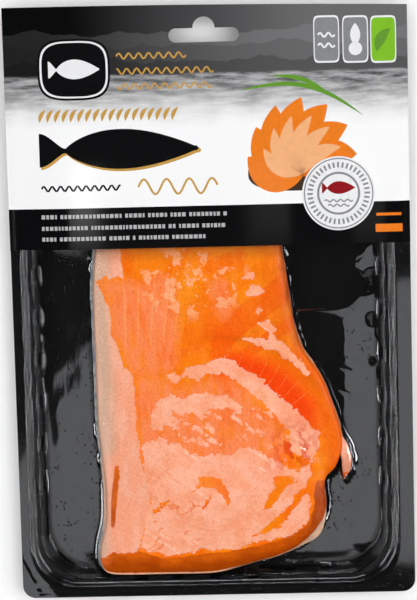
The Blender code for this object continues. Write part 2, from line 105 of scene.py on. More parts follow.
FLAP_WIDTH, FLAP_LEVEL = (1.0, 2.0, 2.3, 1.9, 0.3), (8.0, 8.2, 7.4, 6.0, 4.6)

# The film
FILM, FILM_SLACK, FILM_FALL = 0.25, 0.12, 6.0  # thickness, height over the flesh, slope beside it
BEAD_DULLNESS = 0.87  # share of the gloss that the beads and the wall lack
FILM_DROP = (4.3, 6.3)  # insets where the film starts down the wall and where it is down
FILM_DROP_FLUTE = (-0.5, 0.8)  # added to these at a flute
FILM_WAVES = ((-90.0, -60.0, -20.0, 20.0), (0.03, 0.08, 0.18, 0.24))  # height along Y, at the foot
SKIRT_SLOPE = 0.12
SKIRT_LINE = (  # where the film beside the food reaches the floor: Y, and X there
    (-74.0, -68.0, -62.0, -57.6, -48.9, -40.0, -31.4, -22.6, -13.9, -9.5, -7.7, -5.8, -5.0, -4.4,
     -3.0, -0.6, 1.2, 2.6, 9.0, 12.0, 17.0, 24.0, 30.0),
    (30.0, 46.0, 50.0, 52.2, 56.2, 56.4, 57.0, 56.7, 56.9, 55.7, 52.0, 45.5, 46.5, 56.0,
     60.5, 63.0, 64.6, 75.0, 64.0, 62.5, 62.5, 75.0, 75.0),
)
PEEL_LEFT_Y, PEEL_LOWER_X, PEEL_SLOPE = -107.0, -74.6, 0.1  # the corner that lifts off
FILM_CREASES = (  # start, end, height and half width of each
    ((52.5, -28.5), (59.5, -32.3), 0.13, 0.6), ((54.5, -40.0), (60.0, -43.3), 0.13, 0.6),
    ((44.0, -22.0), (66.0, -38.0), 0.06, 0.6), ((LEFT, PEEL_LEFT_Y), (PEEL_LOWER_X, LOWER), 0.4, 0.9),
)
BULGE_X, BULGE_Y, BULGE_RISE = 65.0, 16.0, 0.12

# The card
CARD = 0.4
CARD_UNDER = FLANGE_TOP + GAP + FILM + GAP
CARD_LOW = UPPER - 102.6
CARD_CURL, CARD_CURL_WIDTH, CARD_BULGE = 0.65, 4.0, 1.5
LIFT_LEFT, LIFT_RIGHT, LIFT_UPPER = (-82, -60), (28, 66), (58, 96)  # where the bulge dies out
CARD_WAVE, CARD_WAVE_LENGTH = 0.12, 64.0
WATER_TOP, BAND_TOP = 99.0, 42.5
CARD_HILLS = (  # level, rise, length and grey value of each
    (116.0, 6.0, 30.0, 88), (110.0, 6.0, 22.0, 78), (103.0, 5.0, 16.0, 64),
)
INK_SUNK = 0.05  # how far a printed shape reaches into the card
VARNISH = {"Specular_IOR_Level": 0.0, "Coat_Weight": 1.0, "Coat_Roughness": 0.08}

# Patches on the flesh, as outlines in millimetres: the cream left side, the patches where the
# film clings and its reflection is painted on the flesh as pale sheen (the film mirrors more there
# too) and the holes in them, salmon pink parts, a brown streak, and the upper edge of the lower
# lip's painted shade
CREAM_SHAPES = (
    ((-52, 27), (-37.9, 27), (-38.1, 18.6), (-36.9, 14.7), (-37, 11.7), (-39.6, 12.8),
     (-42.2, 12.2), (-43.9, 11.4), (-45.5, 13.2), (-48.2, 11.5), (-52, 10.2)),
    ((-52, 11.5), (-49.5, 10.7), (-45.8, 3.7), (-43.4, -0.7), (-43.1, -5.9), (-43.3, -11.5),
     (-40.4, -17.2), (-38.1, -26.4), (-34.8, -29.1), (-34.1, -36.5), (-33.7, -51.8),
     (-32.6, -57.1), (-31.6, -69.4), (-28.5, -81.4), (-28.6, -87.1), (-30.1, -93.7),
     (-34.4, -107.8), (-45.7, -107.6), (-53, -112), (-53, -60)),
)
SHEEN_SHAPES = (
    ((-21, -30.6), (-17.1, -29.4), (-13.2, -30.3), (-11.4, -26.4), (-5.4, -25.7), (0.2, -24.1),
     (5.3, -22.7), (14.6, -28.7), (26.4, -38.9), (35.6, -46.5), (40.7, -52.7), (44.4, -57.2),
     (44.8, -62), (41.6, -68.9), (36.5, -65.8), (32.3, -64.4), (31.5, -60), (32.9, -55.6),
     (29.5, -53.8), (28.3, -50.7), (19.9, -42.3), (11.5, -34.3), (5.2, -29.4), (-3.4, -30.1),
     (-6.9, -32.8), (-11.5, -30.3), (-16.4, -34.6)),
    ((-24.2, -41.3), (-18.6, -38.8), (-13.1, -40.7), (-11.7, -38.5), (-3.6, -37.8), (6.2, -39.3),
     (11.3, -42.5), (12.5, -45.1), (10.4, -46.8), (6.1, -44.1), (-3.3, -44.8), (-13.2, -45.4),
     (-18.8, -45.8), (-16.7, -49.3), (-24.2, -54.4), (-27.6, -53.4), (-27.4, -46.9)),
    ((-31.1, -60.9), (-23.4, -56.7), (-17, -60.3), (-10.7, -63.9), (-4.2, -64.9), (7.8, -65.2),
     (10.9, -62.2), (16, -61.4), (22.8, -66.8), (30.9, -71.3), (35.1, -73.2), (40.4, -68.9),
     (40.2, -74.6), (38.4, -78.9), (31.8, -87.6), (20.9, -97.1), (14.3, -101.8), (22.1, -99.8),
     (29.5, -95), (39.2, -82.9), (40.5, -85.6), (39.9, -94.4), (37.2, -97.4), (32, -102.2),
     (20.7, -103.7), (7.7, -106.1), (-7.4, -107.6), (-22.6, -109.1), (-33.4, -106.2),
     (-30, -93), (-28.5, -86.4), (-31.1, -73.2)),
    ((14.5, 4.7), (16.7, 7.6), (20.5, 6.7), (22.2, 4.9), (20, 2.8), (15.7, 2.5)),
    ((18.6, -3.2), (20.8, -1.1), (22, -2.8), (19.8, -4.9)),
    ((19.8, -7.5), (24, -7.2), (27, -10.3), (26, -13.3), (21.4, -10.6)),
    ((13.6, -15.2), (17, -14.8), (23.9, -15.8), (26, -13.3), (30.2, -16.8), (35.7, -23.4),
     (38.6, -26.1), (42, -30.9), (39.4, -31.3), (33.1, -25.5), (26.7, -21.1), (16.1, -16.9)),
    ((12, 10.3), (15.5, 13.3), (18.5, 13.6), (19.3, 11.9), (16.7, 10.2)),
)
BARE_SHAPES = (
    ((-8.5, -79.2), (-6.7, -76.6), (-7.9, -74.4), (-2.3, -74.1), (2, -75), (4.9, -79.5),
     (6.4, -88.3), (4.3, -86.9), (2.7, -82.5), (-1.6, -78.9)),
    ((24.3, -75.3), (32.1, -75), (34.6, -77.7), (29.8, -79.3), (28.5, -81.9), (24.1, -87.6),
     (20.6, -90.1), (19.8, -87.9), (23.3, -83.1), (25.5, -79.7)),
    ((-6.1, -88.1), (-4.7, -85.4), (-2.9, -82.8), (-2.1, -83.7), (-3.9, -86.8), (-5.2, -89)),
    ((-28.6, -89.5), (-25.1, -87.8), (-21.1, -84.4), (-20.3, -85.3), (-24.2, -88.7), (-27.7, -90.8)),
)
SALMON_SHAPES = (
    ((-47.3, 10.2), (-37, 11.7), (-30.2, 9), (-21.6, 13.1), (-17.4, 10.9), (-15.5, 2.2),
     (-14.6, -12.9), (-15.7, -24.6), (-19.3, -28.9), (-27.1, -31.3), (-33.9, -28.6),
     (-40.4, -17.1), (-43.2, -11.4), (-43.4, -0.6)),
    ((-33.5, -32), (-24, -31), (-14, -36), (4, -31), (16, -39), (27, -52),
     (31, -60), (28, -70), (-20, -66), (-31, -66), (-33, -50)),
    ((-0.8, 8.9), (2.7, 11), (6.5, 10), (7.3, 6.1), (6.3, 1.8), (2.9, 0.6), (-0.5, 3.3)),
    ((2, -0.7), (4.6, 1), (7.5, -0.8), (7.9, -5.1), (4.8, -7.2), (1.9, -4.5)),
)
BROWN_STREAK = ((-43.2, -69.4), (-41.4, -69.4), (-42.2, -80.4), (-44.4, -97.2), (-46.1, -95.8),
                (-45.2, -80.3))
LIP_LINE = ((-60, -110.5), (-48.9, -110.4), (-45.3, -107.8), (-33.6, -107.6), (-22.8, -110.5),
            (-7.6, -109), (7.7, -107.5), (20.7, -105.1), (31.6, -101.8), (37.3, -98.3),
            (40.4, -93.5), (41.8, -86.5), (43, -78), (60, -76))

NOISE_TABLE, OVAL_SPOKES = 128, 64


def smoothstep(low, high, value):
    """0 below low, 1 above high, and 3t^2 - 2t^3 between."""
    t = np.clip((value - low) / (high - low), 0.0, 1.0)
    return t * t * (3 - 2 * t)


def bell(distance, width):
    """exp(-(distance / width)^2)."""
    return np.exp(-((distance / width) ** 2))


def noise(xy, size, seed):
    """Random values from -1 to 1 on a square lattice of this size, blended by 3t^2 - 2t^3."""
    table = np.random.default_rng(seed).uniform(-1, 1, (NOISE_TABLE, NOISE_TABLE))
    place = np.asarray(xy) / size
    cell = np.floor(place).astype(int)
    t = place - cell
    t = t * t * (3 - 2 * t)
    low, high = cell % NOISE_TABLE, (cell + 1) % NOISE_TABLE
    near = table[low[..., 0], low[..., 1]] * (1 - t[..., 0])
    near = near + table[high[..., 0], low[..., 1]] * t[..., 0]
    far = table[low[..., 0], high[..., 1]] * (1 - t[..., 0])
    far = far + table[high[..., 0], high[..., 1]] * t[..., 0]
    return near * (1 - t[..., 1]) + far * t[..., 1]


def fractal(xy, size, seed, octaves=3):
    """A sum of noises, each of half the size and height of the one before."""
    total = sum(noise(xy, size / 2**k, seed + k) / 2**k for k in range(octaves))
    return total / (2 - 2.0 ** (1 - octaves))


def wander(xy, size, amount, seed):
    """Each point moved by two noises, so that an outline read there turns ragged."""
    shift = np.stack([fractal(xy, size, seed), fractal(xy, size, seed + 31)], -1)
    return xy + amount * shift


def arc(x, y, radius, start, end, steps):
    """Points of an arc, angles in degrees."""
    turn = np.radians(np.linspace(start, end, steps + 1))
    return np.stack([x + radius * np.cos(turn), y + radius * np.sin(turn)], 1)


def smooth_loop(corners, cuts):
    """A closed Catmull-Rom curve through the corners, each span cut into this many parts."""
    p = np.asarray(corners, float)
    before, after, beyond = np.roll(p, 1, 0), np.roll(p, -1, 0), np.roll(p, -2, 0)
    t = (np.arange(cuts) / cuts)[None, :, None]
    p, before, after, beyond = p[:, None], before[:, None], after[:, None], beyond[:, None]
    spans = 0.5 * (
        2 * p + (after - before) * t
        + (2 * before - 5 * p + 4 * after - beyond) * t**2
        + (3 * p - before - 3 * after + beyond) * t**3
    )
    return spans.reshape(-1, 2)


def along(path, shares):
    """Points of a polyline at these shares of its length."""
    path = np.asarray(path, float)
    run = np.concatenate([[0], np.cumsum(np.linalg.norm(np.diff(path, axis=0), axis=1))])
    return np.stack([np.interp(shares * run[-1], run, column) for column in path.T], 1)


def moved_out(loop, distance):
    """A counter-clockwise loop with each point moved out along its normal."""
    step = np.roll(loop, -1, 0) - np.roll(loop, 1, 0)
    normal = np.stack([step[:, 1], -step[:, 0]], 1)
    normal /= np.linalg.norm(normal, axis=1, keepdims=True)
    return loop + normal * np.reshape(distance, (-1, 1))


def to_segment(xy, start, end):
    """Distance from each point to a segment."""
    start, step = np.asarray(start, float), np.subtract(end, start)
    share = np.clip(((xy - start) @ step) / (step @ step), 0, 1)
    return np.linalg.norm(xy - start - share[..., None] * step, axis=-1)


def depth_inside(xy, loop):
    """Distance from each point to a closed loop, positive inside it and negative outside.

    A point is inside where the edges crossed on the way to +X are odd in number.
    """
    loop = np.asarray(loop, float)
    distance = np.full(xy.shape[:-1], np.inf)
    crossed = np.zeros(xy.shape[:-1], int)
    x, y = xy[..., 0], xy[..., 1]
    for start, end in zip(loop, np.roll(loop, -1, 0)):
        distance = np.minimum(distance, to_segment(xy, start, end))
        spans = (start[1] > y) != (end[1] > y)
        rise = end[1] - start[1] or 1.0
        crossed += spans & (x < start[0] + (y - start[1]) * (end[0] - start[0]) / rise)
    return np.where(crossed % 2 == 1, distance, -distance)


def deepest(xy, shapes):
    """The largest depth inside any of several loops."""
    return np.max([depth_inside(xy, shape) for shape in shapes], axis=0)


# ---------------------------------------------------------------- meshes


def at_height(xy, height):
    """Points of the plane with a height, or a height for each."""
    return np.concatenate([xy, np.broadcast_to(height, xy.shape[:-1])[..., None]], -1)


def normals(path):
    """Unit vectors across a path, to its left."""
    step = np.gradient(path, axis=0)
    across = np.stack([-step[:, 1], step[:, 0]], 1)
    return across / np.linalg.norm(across, axis=1, keepdims=True)


def wrapped(index):
    """Rows of point indices whose first point comes again at the end."""
    return np.hstack([index, index[:, :1]])


def grid_faces(index):
    """Quads of a grid of point indices."""
    corners = [index[:-1, :-1], index[:-1, 1:], index[1:, 1:], index[1:, :-1]]
    return np.stack(corners, -1).reshape(-1, 4)


def closed_sheet(top, bottom, around=False, pinched=False):
    """Points and quads of a closed sheet between two grids, whose columns may run round. A sheet
    whose last row is pinched to a line, or closed by the caller, gets no wall there."""
    rows, columns = top.shape[:2]
    index = np.arange(rows * columns).reshape(rows, columns)
    if around:
        index = wrapped(index)
    below = index + rows * columns
    faces = [grid_faces(index), grid_faces(below)[:, ::-1]]
    ends = [(index[0], below[0]), (index[-1], below[-1])]
    for near, far in ends[:1] if pinched else ends:
        faces.append(grid_faces(np.stack([near, far])))
    if not around:
        for near, far in ((index[:, 0], below[:, 0]), (index[:, -1], below[:, -1])):
            faces.append(grid_faces(np.stack([near, far])))
    points = np.concatenate([top.reshape(-1, 3), bottom.reshape(-1, 3)])
    return points, np.concatenate(faces)


def tube(path, widths, heights, sides=12):
    """A closed tube along a path of 3-D points: at each point an ellipse across the path, this
    wide and this high, with its ends drawn to a point by the given sizes."""
    turn = np.linspace(0, 2 * math.pi, sides, endpoint=False)
    flat, rise = widths[:, None] * np.cos(turn), heights[:, None] * np.sin(turn)
    xy = path[:, None, :2] + normals(path)[:, None] * flat[..., None]
    return closed_rings(at_height(xy, path[:, 2:] + rise))


def closed_rings(grid):
    """Points and faces of a stack of rings, closed by a face at each end."""
    index = np.arange(grid.size // 3).reshape(grid.shape[:2])
    return grid.reshape(-1, 3), [*grid_faces(wrapped(index)), index[0][::-1], index[-1]]


def joined(parts):
    """Several (points, faces) in one."""
    points, faces, first = [], [], 0
    for part_points, part_faces in parts:
        points.append(part_points)
        faces += [np.asarray(face) + first for face in part_faces]
        first += len(part_points)
    return np.concatenate(points), faces


def new_object(name, points, faces, fields=None, scale=MM):
    """A mesh object in the scene. fields are values at the points, kept as attributes."""
    mesh = bpy.data.meshes.new(name)
    mesh.from_pydata((np.asarray(points) * scale).tolist(), [], [list(map(int, f)) for f in faces])
    for field, values in (fields or {}).items():
        attribute = mesh.attributes.new(field, "FLOAT", "POINT")
        attribute.data.foreach_set("value", np.asarray(values, np.float32).ravel())
    return linked(name, mesh)


def linked(name, data):
    """An object of this mesh, light or camera, in the scene."""
    item = bpy.data.objects.new(name, data)
    bpy.context.scene.collection.objects.link(item)
    return item


def make_piece(name, points, faces, material, replaced=(), fields=None, weld=0.0, sharp=40):
    """Makes one piece from points in millimetres, with its faces turned outwards.

    Points closer than weld become one. Edges sharper than the given angle stay sharp.
    """
    item = new_object(name, points, faces, fields)
    mesh = item.data
    work = bmesh.new()
    work.from_mesh(mesh)
    if weld:
        bmesh.ops.remove_doubles(work, verts=work.verts, dist=weld * MM)
    bmesh.ops.recalc_face_normals(work, faces=work.faces)
    work.to_mesh(mesh)
    work.free()
    mesh.materials.append(material)
    finish_shading(item, sharp)
    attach(item, "root")
    if replaced:
        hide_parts(*replaced)
    return item


def finish_shading(item, sharp):
    """Smooth shading, with edges past this angle in degrees kept sharp."""
    item.data.shade_smooth()
    item.data.set_sharp_from_angle(angle=math.radians(sharp))


def slot_loop():
    """The hang hole's edge: a bar with round ends and a hump above its middle."""
    r = SLOT_HEIGHT / 2
    reach = SLOT_WIDTH / 2 - r
    return np.vstack([
        arc(SLOT_X + reach, SLOT_Y, r, -90, 90, 24),
        arc(SLOT_X, SLOT_Y + r, HUMP_RADIUS, 0, 180, 32),
        arc(SLOT_X - reach, SLOT_Y, r, 90, 270, 24),
    ])


def cut_hang_hole(item, sharp):
    """Cuts the hang hole through a closed sheet, with a prism of the hole's outline."""
    loop = slot_loop()
    levels = (FLANGE_TOP - CUTTER_REACH, FLANGE_TOP + CUTTER_REACH)
    rings = np.array([at_height(loop, level) for level in levels])
    cutter = new_object("hole", *closed_rings(rings))
    cut = item.modifiers.new("hang hole", "BOOLEAN")
    cut.operation, cut.object, cut.solver = "DIFFERENCE", cutter, "EXACT"
    bpy.context.view_layer.update()
    evaluated = item.evaluated_get(bpy.context.evaluated_depsgraph_get())
    holed = bpy.data.meshes.new_from_object(evaluated)
    item.modifiers.clear()
    bpy.data.objects.remove(cutter)
    if len(holed.vertices) <= len(item.data.vertices):
        raise RuntimeError(f"the hang hole wasn't cut through {item.name}")
    item.data = holed
    finish_shading(item, sharp)


# ---------------------------------------------------------------- the well and the pack's edge


def turned(points, quarter):
    """Points turned about the origin by this many right angles."""
    for _ in range(quarter):
        points = np.stack([-points[:, 1], points[:, 0]], 1)
    return points


def stations(spacing):
    """Where the rings have points: shares of each straight wall from -1 to 1, and shares of the
    corner after it between 0 and 1. The wall under the card has fewer."""
    walls, corners = [], []
    for quarter in range(4):
        half = (WELL_HALF_X if quarter % 2 else WELL_HALF_Y) - WELL_CORNER
        hidden = quarter == 1
        count = 24 if hidden else int(2 * half / spacing)
        walls.append(np.linspace(-1, 1, count + 1))
        turn = 21 if quarter in (0, 1) else int(0.5 * math.pi * WELL_CORNER / spacing)
        corners.append(np.arange(1, turn + 1) / (turn + 1))
    return walls, corners


def flute(place, pitch):
    """How far a wall steps out here, from 0 to 1: 1 within each flute, and a smooth ramp."""
    nearest = np.clip(np.round(place / pitch), -FLUTES_EACH_SIDE, FLUTES_EACH_SIDE) * pitch
    distance = np.abs(place - nearest)
    return 1 - smoothstep(FLUTE_WIDTH / 2 - 0.3, FLUTE_WIDTH / 2 + FLUTE_RAMP, distance)


def well_ring(inset, walls, corners, depth=0.0):
    """A rounded rectangle this far inside the outer bead's line.

    Its corners keep one radius until the ring is as narrow as twice that radius, and then shrink
    with it to a line. depth moves the flutes out.
    """
    radius = min(WELL_CORNER, WELL_HALF_X - inset)
    quarters = []
    for quarter in range(4):
        across, reach = WELL_HALF_X - inset, WELL_HALF_Y - inset
        if quarter % 2:
            across, reach = reach, across
        place = walls[quarter] * (reach - radius)
        wall = np.stack([across + depth * flute(place, FLUTE_PITCH[quarter % 2]), place], 1)
        turn = corners[quarter] * math.pi / 2
        corner = np.stack([across - radius + radius * np.cos(turn),
                           reach - radius + radius * np.sin(turn)], 1)
        quarters.append(turned(np.vstack([wall, corner]), quarter))
    return np.vstack(quarters) + (WELL_X, WELL_Y)


def edge_ring(walls, corners):
    """The pack's edge with a point for each point of a ring: straight out from each wall, and
    along the two sides and the rounded corner between them."""
    quarters = []
    for quarter in range(4):
        half_across, half_along = WELL_HALF_X, WELL_HALF_Y
        if quarter % 2:
            half_across, half_along = half_along, half_across
        out, end = half_across + RIMS[quarter], half_along + RIMS[(quarter + 1) % 4]
        straight = half_along - WELL_CORNER
        wall = np.stack([np.full(len(walls[quarter]), out), walls[quarter] * straight], 1)
        r, start = EDGE_CORNERS[quarter], EDGE_SPANS[quarter]
        shares = corners[quarter]
        up = np.interp(shares, (0, start), (straight, end - r))
        turn = np.interp(shares, (start, 1 - start), (0, math.pi / 2))
        back = np.interp(shares, (1 - start, 1), (out - r, half_across - WELL_CORNER))
        corner = np.stack([out - r + r * np.cos(turn), end - r + r * np.sin(turn)], 1)
        corner[shares < start] = np.stack([np.full(len(up), out), up], 1)[shares < start]
        after = shares > 1 - start
        corner[after] = np.stack([back, np.full(len(back), end)], 1)[after]
        quarters.append(turned(np.vstack([wall, corner]), quarter))
    return slanted(np.vstack(quarters) + (WELL_X, WELL_Y))


def slanted(xy):
    """Draws the top edge back to a slanting bow, and what lies near it by a share of that."""
    share = xy[..., 0] / RIGHT
    drop = TOP_SLANT * (1 + share) / 2 - TOP_BOW * (1 - share**2)
    drop = drop * np.clip((xy[..., 1] - SLANT_START) / (UPPER - SLANT_START), 0, 1)
    return xy - np.stack([np.zeros_like(drop), drop], -1)


def bead_rise(inset):
    """Height of the two beads: half of 1 + cos over each bead's width."""
    rise = 0.0
    for middle in (0.0, BEAD_SPACING):
        share = np.clip(np.abs(inset - middle) / BEAD_HALF_WIDTH, 0, 1)
        rise = rise + BEAD_HEIGHT * 0.5 * (1 + np.cos(math.pi * share))
    return rise


# ---------------------------------------------------------------- the food


FLESH_LOOP = smooth_loop(FLESH_EDGE, 4)


def from_lobe(xy):
    """Distance from the lobe's middle, and the angle there."""
    x, y = xy[..., 0] - LOBE_X, xy[..., 1] - LOBE_Y
    return np.hypot(x, y), np.arctan2(y, x)


def flesh_thickness(xy):
    """Thickness away from the edge: a flat part that thins towards the hidden end, a round lobe
    with a groove along its upper right side, and a dimple."""
    x, y = xy[..., 0], xy[..., 1]
    away, turn = from_lobe(xy)
    lobe = LOBE_RISE * (1 - smoothstep(0.35, 1.0, away / LOBE_RADIUS))
    groove = CRESCENT_DEPTH * bell(away - LOBE_RADIUS, CRESCENT_WIDTH)
    groove = groove * smoothstep(0.2, 0.8, np.cos(turn - CRESCENT_TURN))
    dimple = DIMPLE_DEPTH * bell(np.hypot(x - DIMPLE_X, y - DIMPLE_Y), DIMPLE_RADIUS)
    return FLESH + lobe - groove - dimple - FLESH_THINNING * smoothstep(10, 66, y)


def flesh_top(xy, depth):
    """Height of the top at points this deep inside the edge: a quarter ellipse up from the edge,
    wider on the left, with a rounded brow."""
    left = 1 - smoothstep(-44, -26, xy[..., 0])
    shoulder = SHOULDER + (SHOULDER_LEFT - SHOULDER) * left
    out = 1 - np.clip(depth / shoulder, 0, 1)
    share = EDGE_SHARE + (1 - EDGE_SHARE) * np.sqrt(1 - out**2)
    share = share - 0.25 * (1 - np.clip(depth / 0.9, 0, 1)) ** 2
    return FLESH_UNDER + flesh_thickness(xy) * share


def muscle_bands(xy):
    """A count of the muscle bands across the upper part: upright ones on the left that lean over
    to the right further on. The whole numbers are the lines of fat between them."""
    bent = wander(xy, 16.0, 1.2, 5)
    x, y = bent[..., 0], bent[..., 1]
    upright = (x + 36.5 - 0.06 * (x + 36.5) * smoothstep(-12, 14, y) * 2) / 5.45
    leaning = (0.6 * x - 0.8 * y + 38.5) / 5.2
    lean = smoothstep(-22, 14, x)
    return upright * (1 - lean) + leaning * lean


def fat_lines(xy, bands):
    """Distance in millimetres to the nearest line of fat: between the bands of the upper part, or
    one of the lines that cross the lobe's rim."""
    x, y = xy[..., 0], xy[..., 1]
    upper = np.abs((bands + 0.5) % 1 - 0.5) * 5.3
    upper = upper + 4 * (1 - smoothstep(-27, -16, y)) + 4 * (1 - smoothstep(-42, -39, x))
    upper = upper + 0.35 * smoothstep(-16, -8, x) + 0.5 * smoothstep(7, 15, y)
    upper = upper + 0.35 * np.maximum(fractal(xy, 7.0, 19), 0)
    away, turn = from_lobe(xy)[0], from_lobe(wander(xy, 12.0, 1.0, 17))[1]
    step = math.radians(7.0)
    across = np.abs((turn + step / 2) % step - step / 2) * away + 0.2
    across = across + 4 * smoothstep(47, 52, away) + 4 * (1 - smoothstep(30, 36, away))
    across = across + 4 * (1 - smoothstep(0.3, 0.5, np.sin(turn)))
    return np.minimum(upper, across)


def flesh_fields(xy, depth):
    """The masks that the flesh's material reads, most of them depths inside ragged outlines."""
    x, y = xy[..., 0], xy[..., 1]
    ragged = wander(wander(xy, 7.0, 1.1, 3), 2.2, 0.6, 9)
    # painted sheen: depth inside the patches where the film's reflection is painted on the flesh
    painted_sheen = deepest(ragged, SHEEN_SHAPES)
    loose = bell(np.hypot(x + 17, (y + 52) * 1.3), 14)
    painted_sheen = painted_sheen + loose * 2.4 * (fractal(xy, 5.0, 21) - 0.1)
    slanting = np.stack([0.45 * (0.82 * x - 0.57 * y), 0.57 * x + 0.82 * y], -1)
    sheen_flecks = 3.0 * (fractal(slanting, 3.2, 23) - 0.22)
    outside = smoothstep(0.75, 1.1, np.hypot((x - 1) / 30, (y + 51) / 13))
    painted_sheen = np.maximum(painted_sheen, sheen_flecks - 8 * outside)
    painted_sheen = np.minimum(painted_sheen, -deepest(wander(xy, 2.6, 0.8, 14), BARE_SHAPES))
    cream = deepest(wander(wander(xy, 6.0, 0.9, 40), 1.8, 0.6, 43), CREAM_SHAPES)
    brown = deepest(wander(xy, 2.2, 0.5, 15), (BROWN_STREAK,))
    cream = np.minimum(cream, -brown)
    away, turn = from_lobe(xy)
    deep = smoothstep(33, 37, away) * (1 - smoothstep(42, 50, away))
    deep = deep * smoothstep(0.66, 0.92, np.cos(turn - CRESCENT_TURN))
    deep = np.maximum(deep, 0.5 * bell(np.hypot(x - 2, y + 12), 11))
    # the lower lip's painted shade: how far below its upper edge
    lip = np.interp(wander(xy, 3.0, 0.9, 50)[..., 0], *zip(*LIP_LINE)) - y
    bands = muscle_bands(xy)
    tones = np.random.default_rng(6).uniform(-1, 1, 64)
    upper = smoothstep(-30, -18, y)
    return {
        "painted_sheen": painted_sheen,
        "cream": cream,
        "salmon": deepest(ragged, SALMON_SHAPES),
        "deep": deep,
        "fat": fat_lines(xy, bands),
        "band": tones[np.floor(bands).astype(int) % 64] * upper,
        "lip": np.maximum(lip + 0.6 * fractal(xy, 2.4, 52), brown),
        "depth": depth,
        "torn": bell(np.hypot(x - DIMPLE_X - 3, y - DIMPLE_Y), 9.5),
    }


def coarse_relief(xy, depth):
    """Broad relief that the film follows: torn ridges round the dimple and an uneven surface."""
    x, y = xy[..., 0], xy[..., 1]
    torn = bell(np.hypot(x - DIMPLE_X - 2, y - DIMPLE_Y), 8.5)
    ridges = torn * 0.9 * (0.6 - 2 * np.abs(fractal(xy, 4.5, 60, 2)))
    return (ridges + 0.14 * fractal(xy, 9.0, 61)) * smoothstep(0.6, 3.0, depth)


def fine_relief(xy, depth, fat):
    """Fine relief: furrows along the lines of fat, and notches in the right edge."""
    fine = -0.10 * bell(fat, 0.7) + 0.05 * fractal(xy, 2.0, 63)
    notched = 0.3 * fractal(xy, 3.5, 64) * (1 - smoothstep(1, 7, depth))
    notched = notched * smoothstep(15, 30, xy[..., 0])
    return (fine + notched - 0.05) * smoothstep(0.6, 3.0, depth)


def flesh_solid(step=0.52):
    """The flesh: a patch blended between the four sides of its outline, by
    (1 - t) lower + t upper + (1 - s) left + s right - the blended corners, with a bulging edge
    that turns in below and a flat underside. Returns points, faces and the fields."""
    loop = smooth_loop(FLESH_EDGE, 12)
    starts = [quarter * 12 for quarter in FLESH_QUARTERS] + [len(loop)]
    closed = np.vstack([loop, loop[:1]])
    lower, right, upper, left = (closed[a:b + 1] for a, b in zip(starts, starts[1:]))
    columns, seen, hidden = int(98 / step), int(139 / step), 14  # fewer rows under the card
    shown_share = 0.885  # of the long sides, up to just under the card
    s = np.linspace(0, 1, columns + 1)
    t = np.concatenate([np.linspace(0, shown_share, seen), np.linspace(shown_share, 1, hidden)[1:]])
    low, high = along(lower, s), along(upper[::-1], s)
    west, east = along(left[::-1], t), along(right, t)
    s, t = s[None, :, None], t[:, None, None]
    corners = ((1 - s) * (1 - t) * low[0] + s * (1 - t) * low[-1]
               + (1 - s) * t * high[0] + s * t * high[-1])
    xy = (1 - t) * low + t * high + (1 - s) * west[:, None] + s * east[:, None] - corners
    depth = np.maximum(depth_inside(xy, FLESH_LOOP), 0)
    rows, columns = depth.shape
    rim = np.concatenate([np.arange(columns), np.arange(1, rows) * columns + columns - 1,
                          (rows - 1) * columns + np.arange(columns - 2, -1, -1),
                          np.arange(rows - 2, 0, -1) * columns])
    flat_xy = xy.reshape(-1, 2)
    pressed = 1 - smoothstep(PRESSED_Y, PRESSED_Y + 6, flat_xy[:, 1])
    fields = flesh_fields(xy, depth)
    relief = coarse_relief(xy, depth) + fine_relief(xy, depth, fields["fat"])
    top = (flesh_top(xy, depth) + relief).ravel()
    leaning = 1 - np.clip(depth.ravel() / 0.9, 0, 1)
    top = top + (PRESSED_LEVEL - top) * pressed * leaning
    points = [at_height(flat_xy, top)]
    faces = [*grid_faces(np.arange(rows * columns).reshape(rows, columns))]
    edge, level = flat_xy[rim], top[rim]
    above, first = rim, rows * columns
    for turn in np.linspace(0, math.pi / 2, 7)[1:]:
        inward = (1.0 + 0.6 * pressed[rim]) * (1 - math.cos(turn))
        points.append(at_height(moved_out(edge, -inward),
                                level - (level - FLESH_UNDER) * math.sin(turn)))
        index = np.arange(first, first + len(rim))
        faces += [*grid_faces(wrapped(np.stack([above, index])))]
        above, first = index, first + len(rim)
    faces.append(above[::-1])
    points = np.concatenate(points)
    fields = {name: np.concatenate([values.ravel(), np.tile(values.ravel()[rim], 6)])
              for name, values in fields.items()}
    return points, faces, fields


def flap_path(count=24):
    """The narrow flap beside the flesh: points of its middle line, and its half widths and half
    heights there."""
    shares = np.linspace(0, 1, count)
    knots = np.linspace(0, 1, len(FLAP))
    path = np.column_stack([along(FLAP, shares), np.interp(shares, knots, FLAP_LEVEL) - 1.0])
    widths = np.interp(shares, knots, FLAP_WIDTH)
    return path, widths, 0.35 + 0.35 * widths


def skin_solid():
    """The thin pale layer under the flesh, a little wider than it on the left and below, with a
    wavy rim: a low ring, a wider one at half height and a high one."""
    loop = smooth_loop(FLESH_EDGE, 14)
    x, y = loop[:, 0], loop[:, 1]
    left = 1 - smoothstep(-50, -40, x)
    lower = 1 - smoothstep(-108, -90, y)
    against_wall = 1 - smoothstep(PRESSED_Y, PRESSED_Y + 3, y)
    rim = SKIN_RIM * np.maximum(left, lower) - (SKIN_RIM + 1.6) * against_wall
    rim = rim + 2.4 * bell(np.hypot(x - 42, y + 101), 7)
    rim = rim + 0.35 * fractal(loop, 3.0, 70) * (1 - against_wall)
    rings = []
    for inward, share in ((0.35, 0.0), (0.08, 0.2), (0.0, 0.5), (0.08, 0.8), (0.35, 1.0)):
        rings.append(at_height(moved_out(loop, rim - inward), SKIN_UNDER + share * SKIN_THICKNESS))
    return closed_rings(np.array(rings))


# ---------------------------------------------------------------- film and card


def smooth_max(a, b, blend):
    """The larger of two heights, rounded where they are closer than blend."""
    near = np.maximum(blend - np.abs(a - b), 0) / blend
    return np.maximum(a, b) + near**2 * blend / 4


